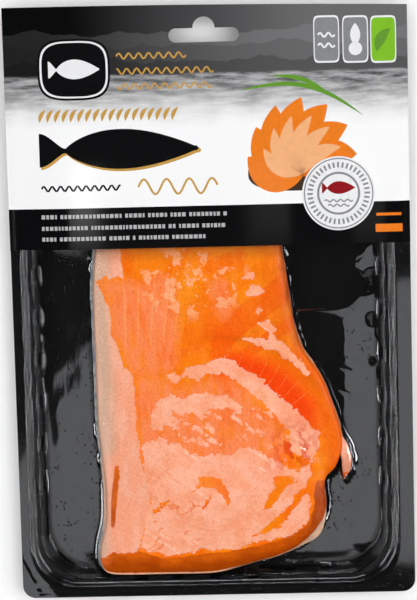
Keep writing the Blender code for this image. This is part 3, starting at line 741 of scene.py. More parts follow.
def film_under(xy, inset):
    """Height of the film's underside: the highest of three sheets, rounded where they meet.

    One lies on the rim, rises over the beads, is drawn down the wall and into its flutes, and
    waves along the wall's foot. One covers the flesh and falls steeply beside it. On the right a
    skirt slopes from the flesh to a line on the floor. Creases and a small bulge stand on all
    three, and the lower left corner lifts off.
    """
    x, y = xy[..., 0], xy[..., 1]
    out_x = np.abs(x - WELL_X) - (WELL_HALF_X - WELL_CORNER)
    out_y = np.abs(y - WELL_Y) - (WELL_HALF_Y - WELL_CORNER)
    side = smoothstep(-6, 0, out_x - out_y)
    fluted = side * flute(y - WELL_Y, FLUTE_PITCH[0]) * (out_y < 0)
    fluted = fluted + (1 - side) * flute(x - WELL_X, FLUTE_PITCH[1]) * (out_x < 0)
    start, foot = (at + more * fluted for at, more in zip(FILM_DROP, FILM_DROP_FLUTE))
    moved = inset + 0.2 * fractal(xy, 5.0, 80)
    drawn = FLANGE_TOP + bead_rise(inset) - WELL_DEPTH * smoothstep(start, foot, moved)
    wave = np.interp(y, *FILM_WAVES) * (1 - np.cos(2 * math.pi * (y - WELL_Y) / FLUTE_PITCH[0]))
    drawn = drawn + wave * side * bell(inset - 9.0, 3.0) * (x > 0)
    depth = depth_inside(xy, FLESH_LOOP)
    cover = flesh_top(xy, np.maximum(depth, 0)) + coarse_relief(xy, depth)
    cover = cover + FILM_FALL * np.minimum(depth, 0)
    path, widths, heights = flap_path()
    for (at_x, at_y, level), width, rise in zip(path, widths, heights):
        beside = np.maximum(np.hypot(x - at_x, y - at_y) - width, 0)
        cover = np.maximum(cover, level + rise - FILM_FALL * beside)
    cover = cover + FILM_SLACK
    ragged = x + 0.5 * noise(xy * (0.3, 1), 0.9, 82)
    skirt = SHEET + SKIRT_SLOPE * (np.interp(y, *SKIRT_LINE) - ragged)
    skirt = np.where(x > 20, skirt, 0)  # on the right alone
    height = smooth_max(np.maximum(drawn, skirt), cover, 0.5)
    for begin, end, rise, width in FILM_CREASES:
        height = height + rise * bell(to_segment(xy, begin, end), width)
    height = height + BULGE_RISE * bell(x - BULGE_X, 2.0) * bell(y - BULGE_Y, 5.0)
    slope = np.array([PEEL_LOWER_X - LEFT, LOWER - PEEL_LEFT_Y])
    across = np.array([slope[1], -slope[0]]) / np.hypot(*slope)
    beyond = (xy - (LEFT, PEEL_LEFT_Y)) @ across
    on_floor = smoothstep(LAND + 4, LAND + 8, inset)
    uneven = 0.05 * fractal(xy, 16.0, 84) * on_floor + 0.02 * fractal(xy, 24.0, 86)
    return height + GAP + PEEL_SLOPE * np.maximum(beyond, 0) + uneven


def card_under(xy):
    """Height of the card's underside: up from its edge over the beads, a broad bulge where the
    fillet lifts it, and a slight wave across."""
    x, y = xy[..., 0], xy[..., 1]
    from_side = WIDTH / 2 - np.abs(x)
    beads_end = WELL_Y + WELL_HALF_Y
    on_well = 1 - smoothstep(beads_end + 2, beads_end + 12, y)
    curl = CARD_CURL * smoothstep(0, CARD_CURL_WIDTH, from_side) * on_well
    across = smoothstep(*LIFT_LEFT, x) * (1 - smoothstep(*LIFT_RIGHT, x))
    bulge = CARD_BULGE * across * (1 - smoothstep(*LIFT_UPPER, y))
    wave = CARD_WAVE * (1 - np.cos(2 * math.pi * (x + WIDTH / 2) / CARD_WAVE_LENGTH))
    return CARD_UNDER + curl + bulge + wave * smoothstep(0, 10, from_side)


# ---------------------------------------------------------------- materials


class Shader:
    """A material's node tree, with short ways to add what it needs. Its colour is laid on in
    tints, each over what is there. A colour is three display values of 0 to 255, four linear
    ones, or another node's output."""

    def __init__(self, name="", tree=None):
        if tree is None:
            self.material = bpy.data.materials.new(name)
            self.material.use_nodes = True
            tree = self.material.node_tree
            self.bsdf = tree.nodes["Principled BSDF"]
        self.tree, self.colour = tree, None

    def node(self, kind, *values, **named):
        """Adds a node. Values go to its sockets in order. A name with a capital is a socket's,
        and any other is one of the node's own settings."""
        made = self.tree.nodes.new("ShaderNode" + kind)
        for name in filter(str.islower, named):
            setattr(made, name, named[name])
        for number, value in enumerate(values):
            self.feed(made.inputs[number], value)
        for name in named:
            if name[0].isupper():
                self.feed(made.inputs[name.replace("_", " ")], named[name])
        return made

    def feed(self, socket, value):
        """Links an output to a socket, or sets its value."""
        if isinstance(value, bpy.types.NodeSocket):
            self.tree.links.new(value, socket)
        elif socket.type == "RGBA" and len(value) == 3:
            socket.default_value = rgb(*value)
        else:
            socket.default_value = value

    def place(self):
        """The point in millimetres on the piece, and its X, Y and Z."""
        coordinates = self.node("TexCoord").outputs["Object"]
        place = self.vector("SCALE", coordinates, scale=1 / MM)
        return place, *self.node("SeparateXYZ", place).outputs

    def vector(self, operation, a, b=(0, 0, 0), scale=1.0):
        """One step of arithmetic on vectors."""
        return self.node("VectorMath", a, b, (0, 0, 0), scale, operation=operation).outputs[0]

    def math(self, operation, a, b=0.0, clamp=False):
        """One step of arithmetic."""
        return self.node("Math", a, b, operation=operation, use_clamp=clamp).outputs[0]

    def product(self, *values):
        """All the values multiplied."""
        total = values[0]
        for value in values[1:]:
            total = self.math("MULTIPLY", total, value)
        return total

    def plus(self, a, b, share):
        """a and this share of b."""
        return self.math("ADD", a, self.math("MULTIPLY", b, share))

    def length(self, vector):
        """A vector's length."""
        return self.node("VectorMath", vector, operation="LENGTH").outputs["Value"]

    def turned(self, place, angle):
        """The place turned about Z."""
        return self.node("VectorRotate", Vector=place, Angle=angle, rotation_type="Z_AXIS").outputs[0]

    def noise(self, place, size, detail=2.0, stretch=(1, 1, 1), rough=0.5):
        """Noise from 0 to 1 with features of about this size in millimetres."""
        place = self.vector("MULTIPLY", place, tuple(share / size for share in stretch))
        made = self.node("TexNoise", Vector=place, Scale=1.0, Detail=detail, Roughness=rough)
        return made.outputs["Fac"]

    def cells(self, place):
        """Distance from the middle of a random cell, and the cell's own random value."""
        made = self.node("TexVoronoi", Vector=place, Scale=1.0)
        return made.outputs["Distance"], made.outputs["Color"]

    def ramp(self, value, low, high, to_low=0.0, to_high=1.0):
        """Maps low to to_low and high to to_high, smoothly, and holds the ends."""
        made = self.node("MapRange", value, low, high, to_low, to_high,
                         interpolation_type="SMOOTHSTEP")
        return made.outputs["Result"]

    def mix(self, share, a, b, blend="MIX"):
        """The second colour over the first by this share."""
        made = self.node("Mix", share, data_type="RGBA", blend_type=blend)
        for number, colour in ((6, a), (7, b)):
            self.feed(made.inputs[number], colour)
        return made.outputs[2]

    def tint(self, colour, *masks, blend="MIX"):
        """Lays a colour over what is there, by the product of the masks."""
        self.colour = self.mix(self.product(*masks), self.colour, colour, blend)

    def field(self, name):
        """A value kept on the piece's points."""
        return self.node("Attribute", attribute_name=name).outputs["Fac"]

    def bump(self, height, strength, distance):
        """Bends the normal by a height, and gives that normal."""
        made = self.node("Bump", Height=height, Strength=strength, Distance=distance * MM)
        self.feed(self.bsdf.inputs["Normal"], made.outputs["Normal"])
        return made.outputs["Normal"]

    def finish(self, colour, **inputs):
        """Sets or links the shader's own sockets."""
        for name, value in {"Base_Color": colour, **inputs}.items():
            self.feed(self.bsdf.inputs[name.replace("_", " ")], value)
        return self.material


def rgb(red, green, blue):
    """A linear colour with alpha from display values of 0 to 255."""
    share = np.array([red, green, blue]) / 255
    linear = np.where(share <= 0.04045, share / 12.92, ((share + 0.055) / 1.055) ** 2.4)
    return (*linear.tolist(), 1.0)


def ragged_group():
    """A node group: 1 where a depth in millimetres, made uneven by fine noise, is past zero."""
    tree = bpy.data.node_groups.new("ragged edge", "ShaderNodeTree")
    for name, kind in (("Depth", "Float"), ("Place", "Vector"), ("Size", "Float"),
                       ("Amount", "Float"), ("Softness", "Float")):
        tree.interface.new_socket(name, in_out="INPUT", socket_type="NodeSocket" + kind)
    tree.interface.new_socket("Mask", in_out="OUTPUT", socket_type="NodeSocketFloat")
    make = Shader(tree=tree)
    given = tree.nodes.new("NodeGroupInput").outputs
    place = make.vector("SCALE", given["Place"], scale=make.math("DIVIDE", 1.0, given["Size"]))
    noise = make.node("TexNoise", Vector=place, Scale=1.0, Detail=3.0).outputs["Fac"]
    shift = make.math("MULTIPLY", make.math("SUBTRACT", noise, 0.5), given["Amount"])
    depth = make.math("ADD", given["Depth"], shift)
    share = make.math("DIVIDE", depth, given["Softness"])
    make.feed(tree.nodes.new("NodeGroupOutput").inputs[0], make.math("ADD", share, 0.5, clamp=True))
    return tree


def tray_material(settings):
    """Glossy black sheet: faint flow marks, fine pits and a slightly uneven gloss."""
    make = Shader("black formed sheet")
    place, *_ = make.place()
    flow = make.noise(place, 9.0, 3.0, (1, 0.5, 1))
    grain = make.noise(place, 0.9)
    colour = make.mix(flow, (*[v * 0.75 for v in settings.tray_colour], 1), (*settings.tray_colour, 1))
    rough = make.ramp(flow, 0.35, 0.7, 0.42, 0.52)
    rough = make.math("SUBTRACT", rough, make.math("MULTIPLY", make.field("under"), 0.32))
    make.bump(make.plus(flow, grain, 0.10), 0.25, 0.12)
    return make.finish(colour, Roughness=rough, Specular_IOR_Level=0.03)


def flesh_material():
    """Moist orange flesh: muscle bands with lines of fat between them, a deep crescent round the
    lobe with thin arcs outside it, and torn fibres at the dimple. Painted on it: the film's
    reflection as pale patches with ragged edges where the film clings, painted highlights as
    short pale dashes below the card and on the torn fibres, and painted shade as a brown lower
    lip, a dark right rim and a dark strip under the card's edge."""
    make = Shader("trout flesh")
    place, x, y, _ = make.place()
    noise, ramp, field, tint = make.noise, make.ramp, make.field, make.tint
    ragged = ragged_group()
    from_lobe = make.vector("SUBTRACT", place, (LOBE_X, LOBE_Y, 0))
    from_lobe = make.length(make.vector("MULTIPLY", from_lobe, (1, 1, 0)))

    def mask(name, size, amount, softness):
        return make.node("Group", node_tree=ragged, Depth=field(name), Place=place, Size=size,
                         Amount=amount, Softness=softness).outputs[0]

    def speckled(size, low, high):
        """Wide blotches that let something show here and there."""
        return ramp(noise(place, size, 1.0), low, high)

    blotch, fine = noise(place, 13.0, 3.0), noise(place, 1.6, 3.0)
    grain = noise(place, 3.0, 4.0, (1, 0.3, 1))
    band, torn = field("band"), field("torn")
    make.colour = make.mix(ramp(blotch, 0.38, 0.66), rgb(250, 132, 6), rgb(245, 104, 0))
    tint((252, 144, 28), ramp(band, 0.0, 1.0, 0.0, 0.5))
    tint((240, 86, 0), ramp(band, -1.0, 0.0, 0.6, 0.0))
    tint((253, 150, 48), ramp(grain, 0.4, 0.7, 0.0, 0.25))
    tint((237, 97, 0), ramp(from_lobe, 43.0, 49.0), ramp(x, 12, 30), ramp(y, -16, -26),
         ramp(blotch, 0.3, 0.6, 0.95, 0.6))
    tint((243, 66, 0), field("deep"), 0.97)
    tint((251, 136, 84), mask("salmon", 2.4, 4.0, 4.5), ramp(grain, 0.35, 0.6, 0.35, 0.95))
    tint((250, 104, 8), ramp(band, -0.9, -0.2, 0.75, 0.0), ramp(grain, 0.3, 0.6, 1.0, 0.3))
    tint((255, 172, 104), ramp(make.plus(field("fat"), fine, 0.5), 0.3, 0.75, 0.62, 0))
    # Thin arcs just outside the lobe, the browner tones of the right side, and painted shade along the
    # upper right edge
    tint((176, 74, 6), ramp(make.math("PINGPONG", from_lobe, 0.5), 0.05, 0.3, 1, 0),
         ramp(from_lobe, 49.9, 50.3), ramp(from_lobe, 52.7, 53.2, 1, 0),
         ramp(x, -6, 8), ramp(y, -44, -36), 0.5)
    tint((228, 98, 6), ramp(x, 10, 32), ramp(y, -28, -12), ramp(grain, 0.35, 0.6, 0.7, 0.3))
    # painted shade: dark brown along the upper right edge, where the flesh falls away
    tint((150, 66, 8), ramp(make.plus(field("depth"), grain, 4.0), 1.4, 5.5, 1, 0),
         ramp(x, 10, 30), ramp(y, -30, -10), 0.9)
    # Painted reflection: the film's sheen, painted as pale patches where the film clings, with fine
    # pale arcs and scratches in them
    painted_sheen = make.mix(ramp(noise(place, 9.0, 3.0), 0.35, 0.65), (251, 164, 126), (254, 182, 152))
    thin = make.plus(from_lobe, noise(place, 14.0, 1.0), 9.0)
    thin = make.product(ramp(make.math("PINGPONG", thin, 1.4), 0.1, 0.35, 0.3, 0),
                        ramp(y, -70, -78), speckled(8.0, 0.45, 0.6))
    scratch = ramp(noise(make.turned(place, -0.95), 1.1, 2.0, (1, 0.06, 1)), 0.6, 0.68, 0, 0.5)
    scratch = make.product(scratch, speckled(12.0, 0.42, 0.55))
    for share, tone in ((thin, (255, 204, 178)), (scratch, (255, 212, 190))):
        painted_sheen = make.mix(share, painted_sheen, tone)
    tint(painted_sheen, mask("painted_sheen", 1.8, 4.0, 0.3), 0.93)
    vein = make.math("ABSOLUTE", make.math("SUBTRACT", noise(place, 17.0, 4.0), 0.5))
    tint((240, 116, 46), ramp(vein, 0.003, 0.011, 0.8, 0), ramp(y, -68, -74), ramp(x, 2, -8),
         speckled(6.0, 0.42, 0.5))
    # Painted highlights: small pale patches and dashes below the card, where the film glints
    near = make.vector("SUBTRACT", place, (-8, 10, 0))
    near = make.length(make.vector("MULTIPLY", near, (1 / 26, 1 / 17, 0)))
    tint((253, 172, 124), ramp(noise(place, 4.5, 5.0, (1, 0.7, 1)), 0.555, 0.6, 0, 0.8),
         ramp(near, 0.7, 1.1, 1, 0))
    fibres = noise(place, 4.2, 3.0, (1, 0.6, 1))
    tint((222, 66, 0), torn, ramp(fibres, 0.51, 0.45, 0, 0.95))
    # painted highlights on the torn fibres
    tint((254, 186, 152), torn, ramp(fibres, 0.6, 0.66, 0, 0.8))
    for angle, size in ((0.75, (0.3, 0.85, 0)), (-0.55, (0.34, 1.0, 0))):
        middle, chance = make.cells(make.vector("MULTIPLY", make.turned(place, angle), size))
        tint((253, 190, 146), ramp(make.plus(middle, fine, 0.3), 0.36, 0.42, 1, 0),
             ramp(chance, 0.7, 0.75), ramp(near, 0.5, 0.8, 1, 0), 0.85)
    # The lower lip, painted shade that darkens towards the edge, and its pale edge, the cream left
    # side, and painted shadow under the card's edge
    lip = make.mix(ramp(noise(place, 4.0, 4.0, (0.5, 1, 1)), 0.3, 0.7), (184, 72, 1), (214, 96, 6))
    lip = make.mix(ramp(field("lip"), 1.0, 6.0, 0, 0.7), lip, (150, 54, 1))
    tint(lip, mask("lip", 1.2, 1.2, 0.35), 0.95)
    edge = make.math("SUBTRACT", field("depth"), make.product(fine, 1.2))
    tint((236, 186, 150), ramp(edge, -0.1, 0.4, 0.8, 0), ramp(y, -92, -97))
    streak = noise(place, 5.0, 3.0, (1, 0.25, 1))
    inner = make.plus(make.math("ADD", x, ramp(y, -58, -72, 0, 4.5)), streak, 4.0)
    cream = make.mix(ramp(inner, -45, -37), (212, 174, 150), (248, 164, 130))
    cream = make.mix(ramp(streak, 0.4, 0.7, 0.0, 0.5), cream, (244, 190, 168))
    tint(cream, mask("cream", 1.1, 1.4, 0.3), 0.96)
    # painted shadow of the card's edge on the flesh
    tint((110, 66, 30), ramp(y, 17, 25.5), 0.6)
    tint((0.72, 0.6, 0.5, 1), ramp(noise(place, 0.8), 0.35, 0.6, 0.35, 0.0), blend="MULTIPLY")
    height = make.plus(fine, blotch, 0.6)
    height = make.math("ADD", height, make.product(fibres, torn, 2.5))
    make.bump(height, 0.4, 0.25)
    return make.finish(make.colour, Roughness=ramp(fine, 0.3, 0.7, 0.34, 0.5), IOR=1.4,
                       Specular_IOR_Level=0.03)


def skin_material():
    """Skin and pale fat: silvery blue grey on the far left, cream elsewhere, streaked and moist."""
    make = Shader("pale skin and fat")
    place, x, *_ = make.place()
    streak = make.noise(place, 3.0, 4.0)
    cream = make.mix(make.ramp(streak, 0.35, 0.65), (226, 182, 150), (196, 160, 138))
    silver = make.mix(make.ramp(streak, 0.4, 0.6), (112, 120, 130), (160, 158, 156))
    colour = make.mix(make.ramp(make.plus(x, streak, 4.0), -48.4, -47.2), silver, cream)
    rough = make.ramp(make.noise(place, 1.2), 0.35, 0.65, 0.28, 0.42)
    make.bump(streak, 0.4, 0.2)
    return make.finish(colour, Roughness=rough, Specular_IOR_Level=0.05)


def film_material(settings):
    """Clear film. What it mirrors grows as the view turns to a glancing one; the rest is let
    through. Fine wrinkles break up the reflection, and small dark bubbles lie on the floor."""
    make = Shader("clear film")
    place, _, _, height = make.place()
    middle, chance = make.cells(make.vector("SCALE", place, scale=0.6))
    bubbles = make.product(make.ramp(middle, 0.2, 0.32, 1, 0), make.ramp(chance, 0.5, 0.55),
                           make.ramp(make.noise(place, 14.0), 0.4, 0.5))
    wrinkle = make.product(make.noise(place, 6.0, 3.0, (1, 0.4, 1)), make.field("slack"))
    normal = make.bump(make.plus(wrinkle, bubbles, 0.3), settings.film_wrinkle, 0.15)
    fresnel = make.node("Fresnel", IOR=1.45, Normal=normal)
    mirrored = make.math("MULTIPLY", fresnel.outputs[0], make.field("gloss"), clamp=True)
    front = make.math("SUBTRACT", 1.0, make.node("NewGeometry").outputs["Backfacing"])
    bubbled = make.product(bubbles, make.ramp(height, 1.8, 2.6, 0.85, 0))
    alpha = make.product(mirrored, front, make.math("SUBTRACT", 1.0, bubbled))
    return make.finish((0.95, 0.97, 1.0, 1), Metallic=1.0, Roughness=0.04, Alpha=alpha)


def card_material():
    """Glossy printed card: layered misty hills over rippled water that fade to white, and a black
    band at the foot."""
    make = Shader("printed card")
    place, x, y, _ = make.place()
    make.colour = make.mix(make.ramp(x, -60, 15), (8, 8, 9), (74, 74, 76))
    make.tint((104, 104, 105), make.ramp(x, 0, 50))
    for number, (level, rise, size, grey) in enumerate(CARD_HILLS):
        ridge = make.noise(make.vector("MULTIPLY", place, (1, 0, 0)), size, 5.0)
        moved = make.product(make.math("SUBTRACT", ridge, 0.5), rise * 2.4)
        below = make.math("SUBTRACT", make.math("ADD", moved, level + number * 0.5), y)
        hill = make.mix(make.ramp(x, -75, 50), (grey * 0.4, grey * 0.4, grey * 0.41),
                        (grey * 1.3, grey * 1.3, grey * 1.32))
        make.tint(hill, make.ramp(below, 0.0, 0.5))
    ripple = make.noise(place, 5.0, 5.0, (0.35, 2.2, 1), 0.65)
    water = make.mix(make.ramp(ripple, 0.35, 0.68), (70, 70, 72), (178, 178, 180))
    make.tint(water, make.ramp(make.math("SUBTRACT", WATER_TOP, y), 0.0, 1.5))
    fade = make.plus(y, make.noise(place, 12.0, 4.0), 8.0)
    make.tint((246, 246, 247), make.ramp(fade, 79.0, 101.0, 1, 0))
    make.tint((9, 9, 11), make.math("LESS_THAN", y, BAND_TOP))
    paper = make.noise(place, 0.8)
    make.bump(paper, 0.08, 0.05)
    return make.finish(make.colour, Roughness=make.ramp(paper, 0.3, 0.7, 0.4, 0.5), **VARNISH)


def ink_material(name, colour, metallic=0.0, shade=0.8):
    """Printed ink or foil: slightly uneven in tone, under the card's varnish."""
    make = Shader(name)
    uneven = make.noise(make.place()[0], 2.5, 3.0)
    colour = rgb(*colour)
    darker = tuple(value * shade for value in colour[:3]) + (1.0,)
    make.bump(uneven, 0.05, 0.05)
    return make.finish(make.mix(uneven, darker, colour), Roughness=0.3, Metallic=metallic, **VARNISH)


def floor_material(settings):
    """Matt pale board with the faintest grain."""
    make = Shader("pale board")
    grain = make.noise(make.place()[0], 1.2, 3.0)
    tone = settings.floor_tone
    make.bump(grain, 0.05, 0.05)
    return make.finish(make.mix(grain, (tone * 0.985,) * 3 + (1,), (tone,) * 3 + (1,)), Roughness=0.9)


# ---------------------------------------------------------------- printed shapes


def between(low, high, rows=2):
    """A grid between two curves with as many points each."""
    share = np.linspace(0, 1, rows + 1)[:, None, None]
    return (1 - share) * np.asarray(low, float)[None] + share * np.asarray(high, float)[None]


def oval(middle, half_width, half_height, power=2.0, inner=0.0):
    """A superellipse, |x/a|^p + |y/b|^p = 1, as rings from this share of its size to all of it."""
    turn = np.linspace(0, 2 * math.pi, OVAL_SPOKES, endpoint=False)
    c, s = np.cos(turn), np.sin(turn)
    edge = np.stack([np.sign(c) * np.abs(c) ** (2 / power) * half_width,
                     np.sign(s) * np.abs(s) ** (2 / power) * half_height], 1)
    share = np.linspace(inner, 1, 2 if inner else 4)[:, None, None]
    return edge[None] * share + middle


def ribbon(path, half_widths, rows=1):
    """A strip along a path, this wide on both sides of it."""
    path = np.asarray(path, float)
    out = normals(path) * np.reshape(half_widths, (-1, 1))
    return between(path - out, path + out, rows)


def waved(x0, x1, y, height, length, half_width, phase=0.0):
    """A strip along a sine that runs along X."""
    x = np.linspace(x0, x1, int((x1 - x0) / 0.6) + 2)
    path = np.stack([x, y + height * np.sin(2 * math.pi * (x - x0) / length + phase)], 1)
    return ribbon(path, half_width)


def leaf(start, end, bend, half_width, count=28):
    """A leaf or petal: a bowed middle line with a width of sin(pi s)^0.8."""
    s = np.linspace(0, 1, count)
    start, step = np.asarray(start, float), np.subtract(end, start)
    normal = np.array([-step[1], step[0]])
    path = start + s[:, None] * step + (bend * np.sin(math.pi * s))[:, None] * normal
    return ribbon(path, half_width * np.sin(math.pi * np.clip(s, 0.004, 0.996)) ** 0.8, 2)


def fish_shape(x, y, length, height):
    """A plain fish in side view, from its tail to its nose: two curves, above and below, that
    pinch before the tail."""
    s = np.linspace(0, 1, 90)
    body = np.sin(math.pi * np.clip((s - 0.16) / 0.84, 0, 1) ** 0.8) ** 0.85
    tail = 0.85 * (1 - smoothstep(0.0, 0.2, s))
    half = height / 2 * np.maximum(np.maximum(body, tail), 0.12)
    half[-1] = 0.02
    along_x = x + s * length
    return between(np.stack([along_x, y - 0.92 * half], 1), np.stack([along_x, y + half], 1), 6)


def petals(root, across, up, first, count, half_width):
    """Leaves from one root to a half oval of tips above it, from this angle on."""
    return [leaf(root, (40 + across * math.cos(t), 60 + up * math.sin(t)), 0.16, half_width)
            for t in np.linspace(first, math.pi - first, count)]


def bar(x0, x1, y, half_width):
    """A straight strip across, with points close enough to follow the card's curl."""
    x = np.linspace(x0, x1, max(2, int((x1 - x0) / 0.7) + 1))
    return ribbon(np.stack([x, np.full_like(x, y)], 1), half_width)


def printed(name, lift, material, strips, ovals=()):
    """Thin closed shapes on the card, whose tops are this far above its face. An oval's columns
    run round."""
    parts = []
    for grid, around in [(strip, False) for strip in strips] + [(oval, True) for oval in ovals]:
        top = at_height(grid, card_under(grid) + CARD + lift)
        parts.append(closed_sheet(top, top - (0, 0, lift + INK_SUNK), around))
    points, faces = joined(parts)
    return make_piece(name, points, faces, material, weld=0.0004)


# ---------------------------------------------------------------- settings


class TroutPackSettings(bpy.types.PropertyGroup):
    """Sizes and colours that a user would change."""

    tray_colour: FloatVectorProperty(
        name="Tray colour", description="Colour of the formed sheet", subtype="COLOR", size=3,
        min=0.0, max=1.0, default=(0.002, 0.002, 0.0025))
    film_wrinkle: FloatProperty(
        name="Film wrinkle", description="How strongly fine wrinkles break up the film's gloss",
        default=0.14, min=0.0, max=1.0, subtype="FACTOR")
    film_gloss: FloatProperty(
        name="Film gloss", description="The film's gloss, as a multiple of a bare sheet's",
        default=3.0, min=0.0, max=5.0)
    gloss_on_flesh: FloatProperty(
        name="Gloss on flesh", description="The film's gloss over the flesh, as a share of the rest",
        default=0.01, min=0.0, max=1.0, subtype="FACTOR")
    floor_tone: FloatProperty(
        name="Floor tone", description="Grey value of the floor", default=0.95, min=0.0, max=1.0)
    panel_glow: FloatProperty(
        name="Panel glow", description="Brightness of the panel that the film mirrors", default=0.9,
        min=0.0)
    fill_power: FloatProperty(
        name="Fill", description="Power of the broad light overhead", default=47.0,
        min=0.0, unit="POWER")
    lens: FloatProperty(
        name="Lens", description="Focal length of the camera", default=150.0, min=20.0,
        unit="CAMERA")
    dashes: IntProperty(
        name="Dashes", description="Most printed dashes in each row of the band", default=48, min=1)


# ---------------------------------------------------------------- operators


class TROUT_OT_tray(bpy.types.Operator):
    """Make the formed tray"""

    bl_idname = "trout_pack.tray"
    bl_label = "Tray"

    def execute(self, context):
        """Rings from the pack's edge over the beads, down the fluted wall and across the floor,
        and a second set a sheet's thickness below."""
        walls, corners = stations(TRAY_SPACING)
        edge = edge_ring(walls, corners)
        first = -BEAD_HALF_WIDTH - 0.15
        rim = well_ring(first, walls, corners)
        bend = WALL_BEND
        # Each ring's inset, its height, and the share of the flutes' depth that it has
        profile = [(t, FLANGE_TOP + bead_rise(t), 1.0) for t in np.arange(first, 2.71, 0.15)]
        profile += [(3.3, FLANGE_TOP, 1.0), (LAND - bend, FLANGE_TOP, 1.0)]
        for turn in np.radians((30, 60, 84)):
            profile.append((LAND - bend + bend * math.sin(turn),
                            FLANGE_TOP - bend * (1 - math.cos(turn)), 1.0))
        for share in (0.25, 0.5, 0.75, 0.97):
            height = FLANGE_TOP - bend - share * (WELL_DEPTH - 2 * bend)
            profile.append((LAND + share * WALL_RUN, height, 1.0 - 0.3 * share))
        for turn in np.radians((30, 60, 90)):
            profile.append((LAND + WALL_RUN + 0.1 + bend * (1 - math.cos(turn)),
                            SHEET + bend * (1 - math.sin(turn)), 0.65))
        profile += [(t, SHEET, 0.5 * (t < 8)) for t in FLOOR_RINGS]
        profile = np.array(profile)
        top, bottom = [], []
        for share in (0.0, 0.06, 0.3, 0.65):
            ring = edge + (rim - edge) * share
            top.append(at_height(ring, FLANGE_TOP))
            bottom.append(top[-1] - (0, 0, SHEET))
        slope = np.gradient(profile[:, :2], axis=0)
        slope /= np.linalg.norm(slope, axis=1, keepdims=True)
        for (inset, height, share), (run, fall) in zip(profile, slope):
            fluted = FLUTE_DEPTH * share if inset >= LAND - SHEET else 0.0
            ring = well_ring(inset, walls, corners, fluted)
            top.append(at_height(ring, height))
            if inset < LAND - bend - 0.1:
                bottom.append(at_height(ring, FLANGE_TOP - SHEET))
            else:
                ring = well_ring(inset + fall * SHEET, walls, corners, FLUTE_DEPTH * share)
                bottom.append(at_height(ring, max(height - run * SHEET, 0.0)))
        top, bottom = np.array(top), np.array(bottom)
        points, faces = closed_sheet(top, bottom, around=True, pinched=True)
        half = len(points) // 2
        last = np.arange(half - top.shape[1], half)
        faces = [*faces, last, (last + half)[::-1]]
        under = np.repeat([0.0, 1.0], half)  # the underside is smoother
        item = make_piece("tray_formed", points, faces, tray_material(context.scene.trout_pack),
                          ("tray",), {"under": under}, sharp=50)
        cut_hang_hole(item, 50)
        return {"FINISHED"}


class TROUT_OT_food(bpy.types.Operator):
    """Make the flesh and the pale skin under it"""

    bl_idname = "trout_pack.food"
    bl_label = "Food"

    def execute(self, context):
        points, faces, fields = flesh_solid()
        flap_points, flap_faces = tube(*flap_path())
        flap_fields = {"painted_sheen": -9.0, "salmon": -9.0, "deep": 0.0, "fat": 9.0, "band": 0.0,
                       "depth": 9.0, "torn": 0.0, "cream": flap_points[:, 1] + 75.5,
                       "lip": -76.5 - flap_points[:, 1]}
        points, faces = joined([(points, faces), (flap_points, flap_faces)])
        fields = {name: np.append(values, np.broadcast_to(flap_fields[name], len(flap_points)))
                  for name, values in fields.items()}
        make_piece("trout_flesh", points, faces, flesh_material(), ("fillet",),
                   fields, sharp=60)
        points, faces = skin_solid()
        make_piece("skin_edge", points, faces, skin_material(),
                   ("skin_layer",), sharp=60)
        return {"FINISHED"}


class TROUT_OT_film(bpy.types.Operator):
    """Make the clear film"""

    bl_idname = "trout_pack.film"
    bl_label = "Film"

    def execute(self, context):
        """Rings like the tray's, on to the line at the middle of the well."""
        settings = context.scene.trout_pack
        walls, corners = stations(FILM_SPACING)
        edge = edge_ring(walls, corners)
        first = -BEAD_HALF_WIDTH
        rim = well_ring(first, walls, corners)
        shares = (0.0, 0.13, 0.28, 0.43, 0.58, 0.73, 0.87)
        insets = np.concatenate([np.arange(first, 2.5, 0.25), [3.2, 4.0],
                                 np.arange(4.5, 12.0, 0.6), np.arange(12.4, WELL_HALF_X, 1.13),
                                 [WELL_HALF_X - 1e-4]])
        xy = np.array([edge + (rim - edge) * share for share in shares]
                      + [well_ring(inset, walls, corners) for inset in insets])
        inset = np.append([-3.0] * len(shares), insets)[:, None] + np.zeros(len(edge))
        bottom = at_height(xy, film_under(xy, inset))
        points, faces = closed_sheet(bottom + (0, 0, FILM), bottom, around=True, pinched=True)
        # Little gloss over the flesh, but for the patches that cling, and less on the beads
        on_flesh = smoothstep(-3.0, -1.5, depth_inside(xy, FLESH_LOOP))
        clinging = 0.25 * smoothstep(-0.3, 0.6, deepest(wander(xy, 4.0, 1.5, 3), SHEEN_SHAPES))
        share = settings.gloss_on_flesh + clinging * (xy[..., 1] < -50)
        gloss = settings.film_gloss * (1 + (share - 1) * on_flesh)
        gloss = gloss * (1 - BEAD_DULLNESS * (smoothstep(-1.3, -0.8, inset) - smoothstep(6, 9, inset)))
        slack = 0.15 + 0.85 * smoothstep(LAND + 4, LAND + 9, inset)
        fields = {"gloss": np.tile(gloss.ravel(), 2), "slack": np.tile(slack.ravel(), 2)}
        item = make_piece("clear_film", points, faces, film_material(settings), ("film",),
                          fields, weld=0.01, sharp=70)
        cut_hang_hole(item, 70)
        return {"FINISHED"}


class TROUT_OT_card(bpy.types.Operator):
    """Make the header card"""

    bl_idname = "trout_pack.card"
    bl_label = "Card"

    def execute(self, context):
        from_side = np.array([0, 0.15, 0.5, 1.0, 1.6, 2.2, 2.8, 3.4, 4.2, 5.5, 7.5])
        x = np.concatenate([LEFT + from_side, np.linspace(LEFT + 9.5, RIGHT - 9.5, 100),
                            (RIGHT - from_side)[::-1]])
        y = np.concatenate([np.linspace(CARD_LOW, 124.5, 70), [126.0, UPPER]])
        xy = slanted(np.stack(np.meshgrid(x, y), -1))
        bottom = at_height(xy, card_under(xy))
        points, faces = closed_sheet(bottom + (0, 0, CARD), bottom)
        item = make_piece("header_card", points, faces, card_material(), ("card",), sharp=50)
        cut_hang_hole(item, 50)
        return {"FINISHED"}


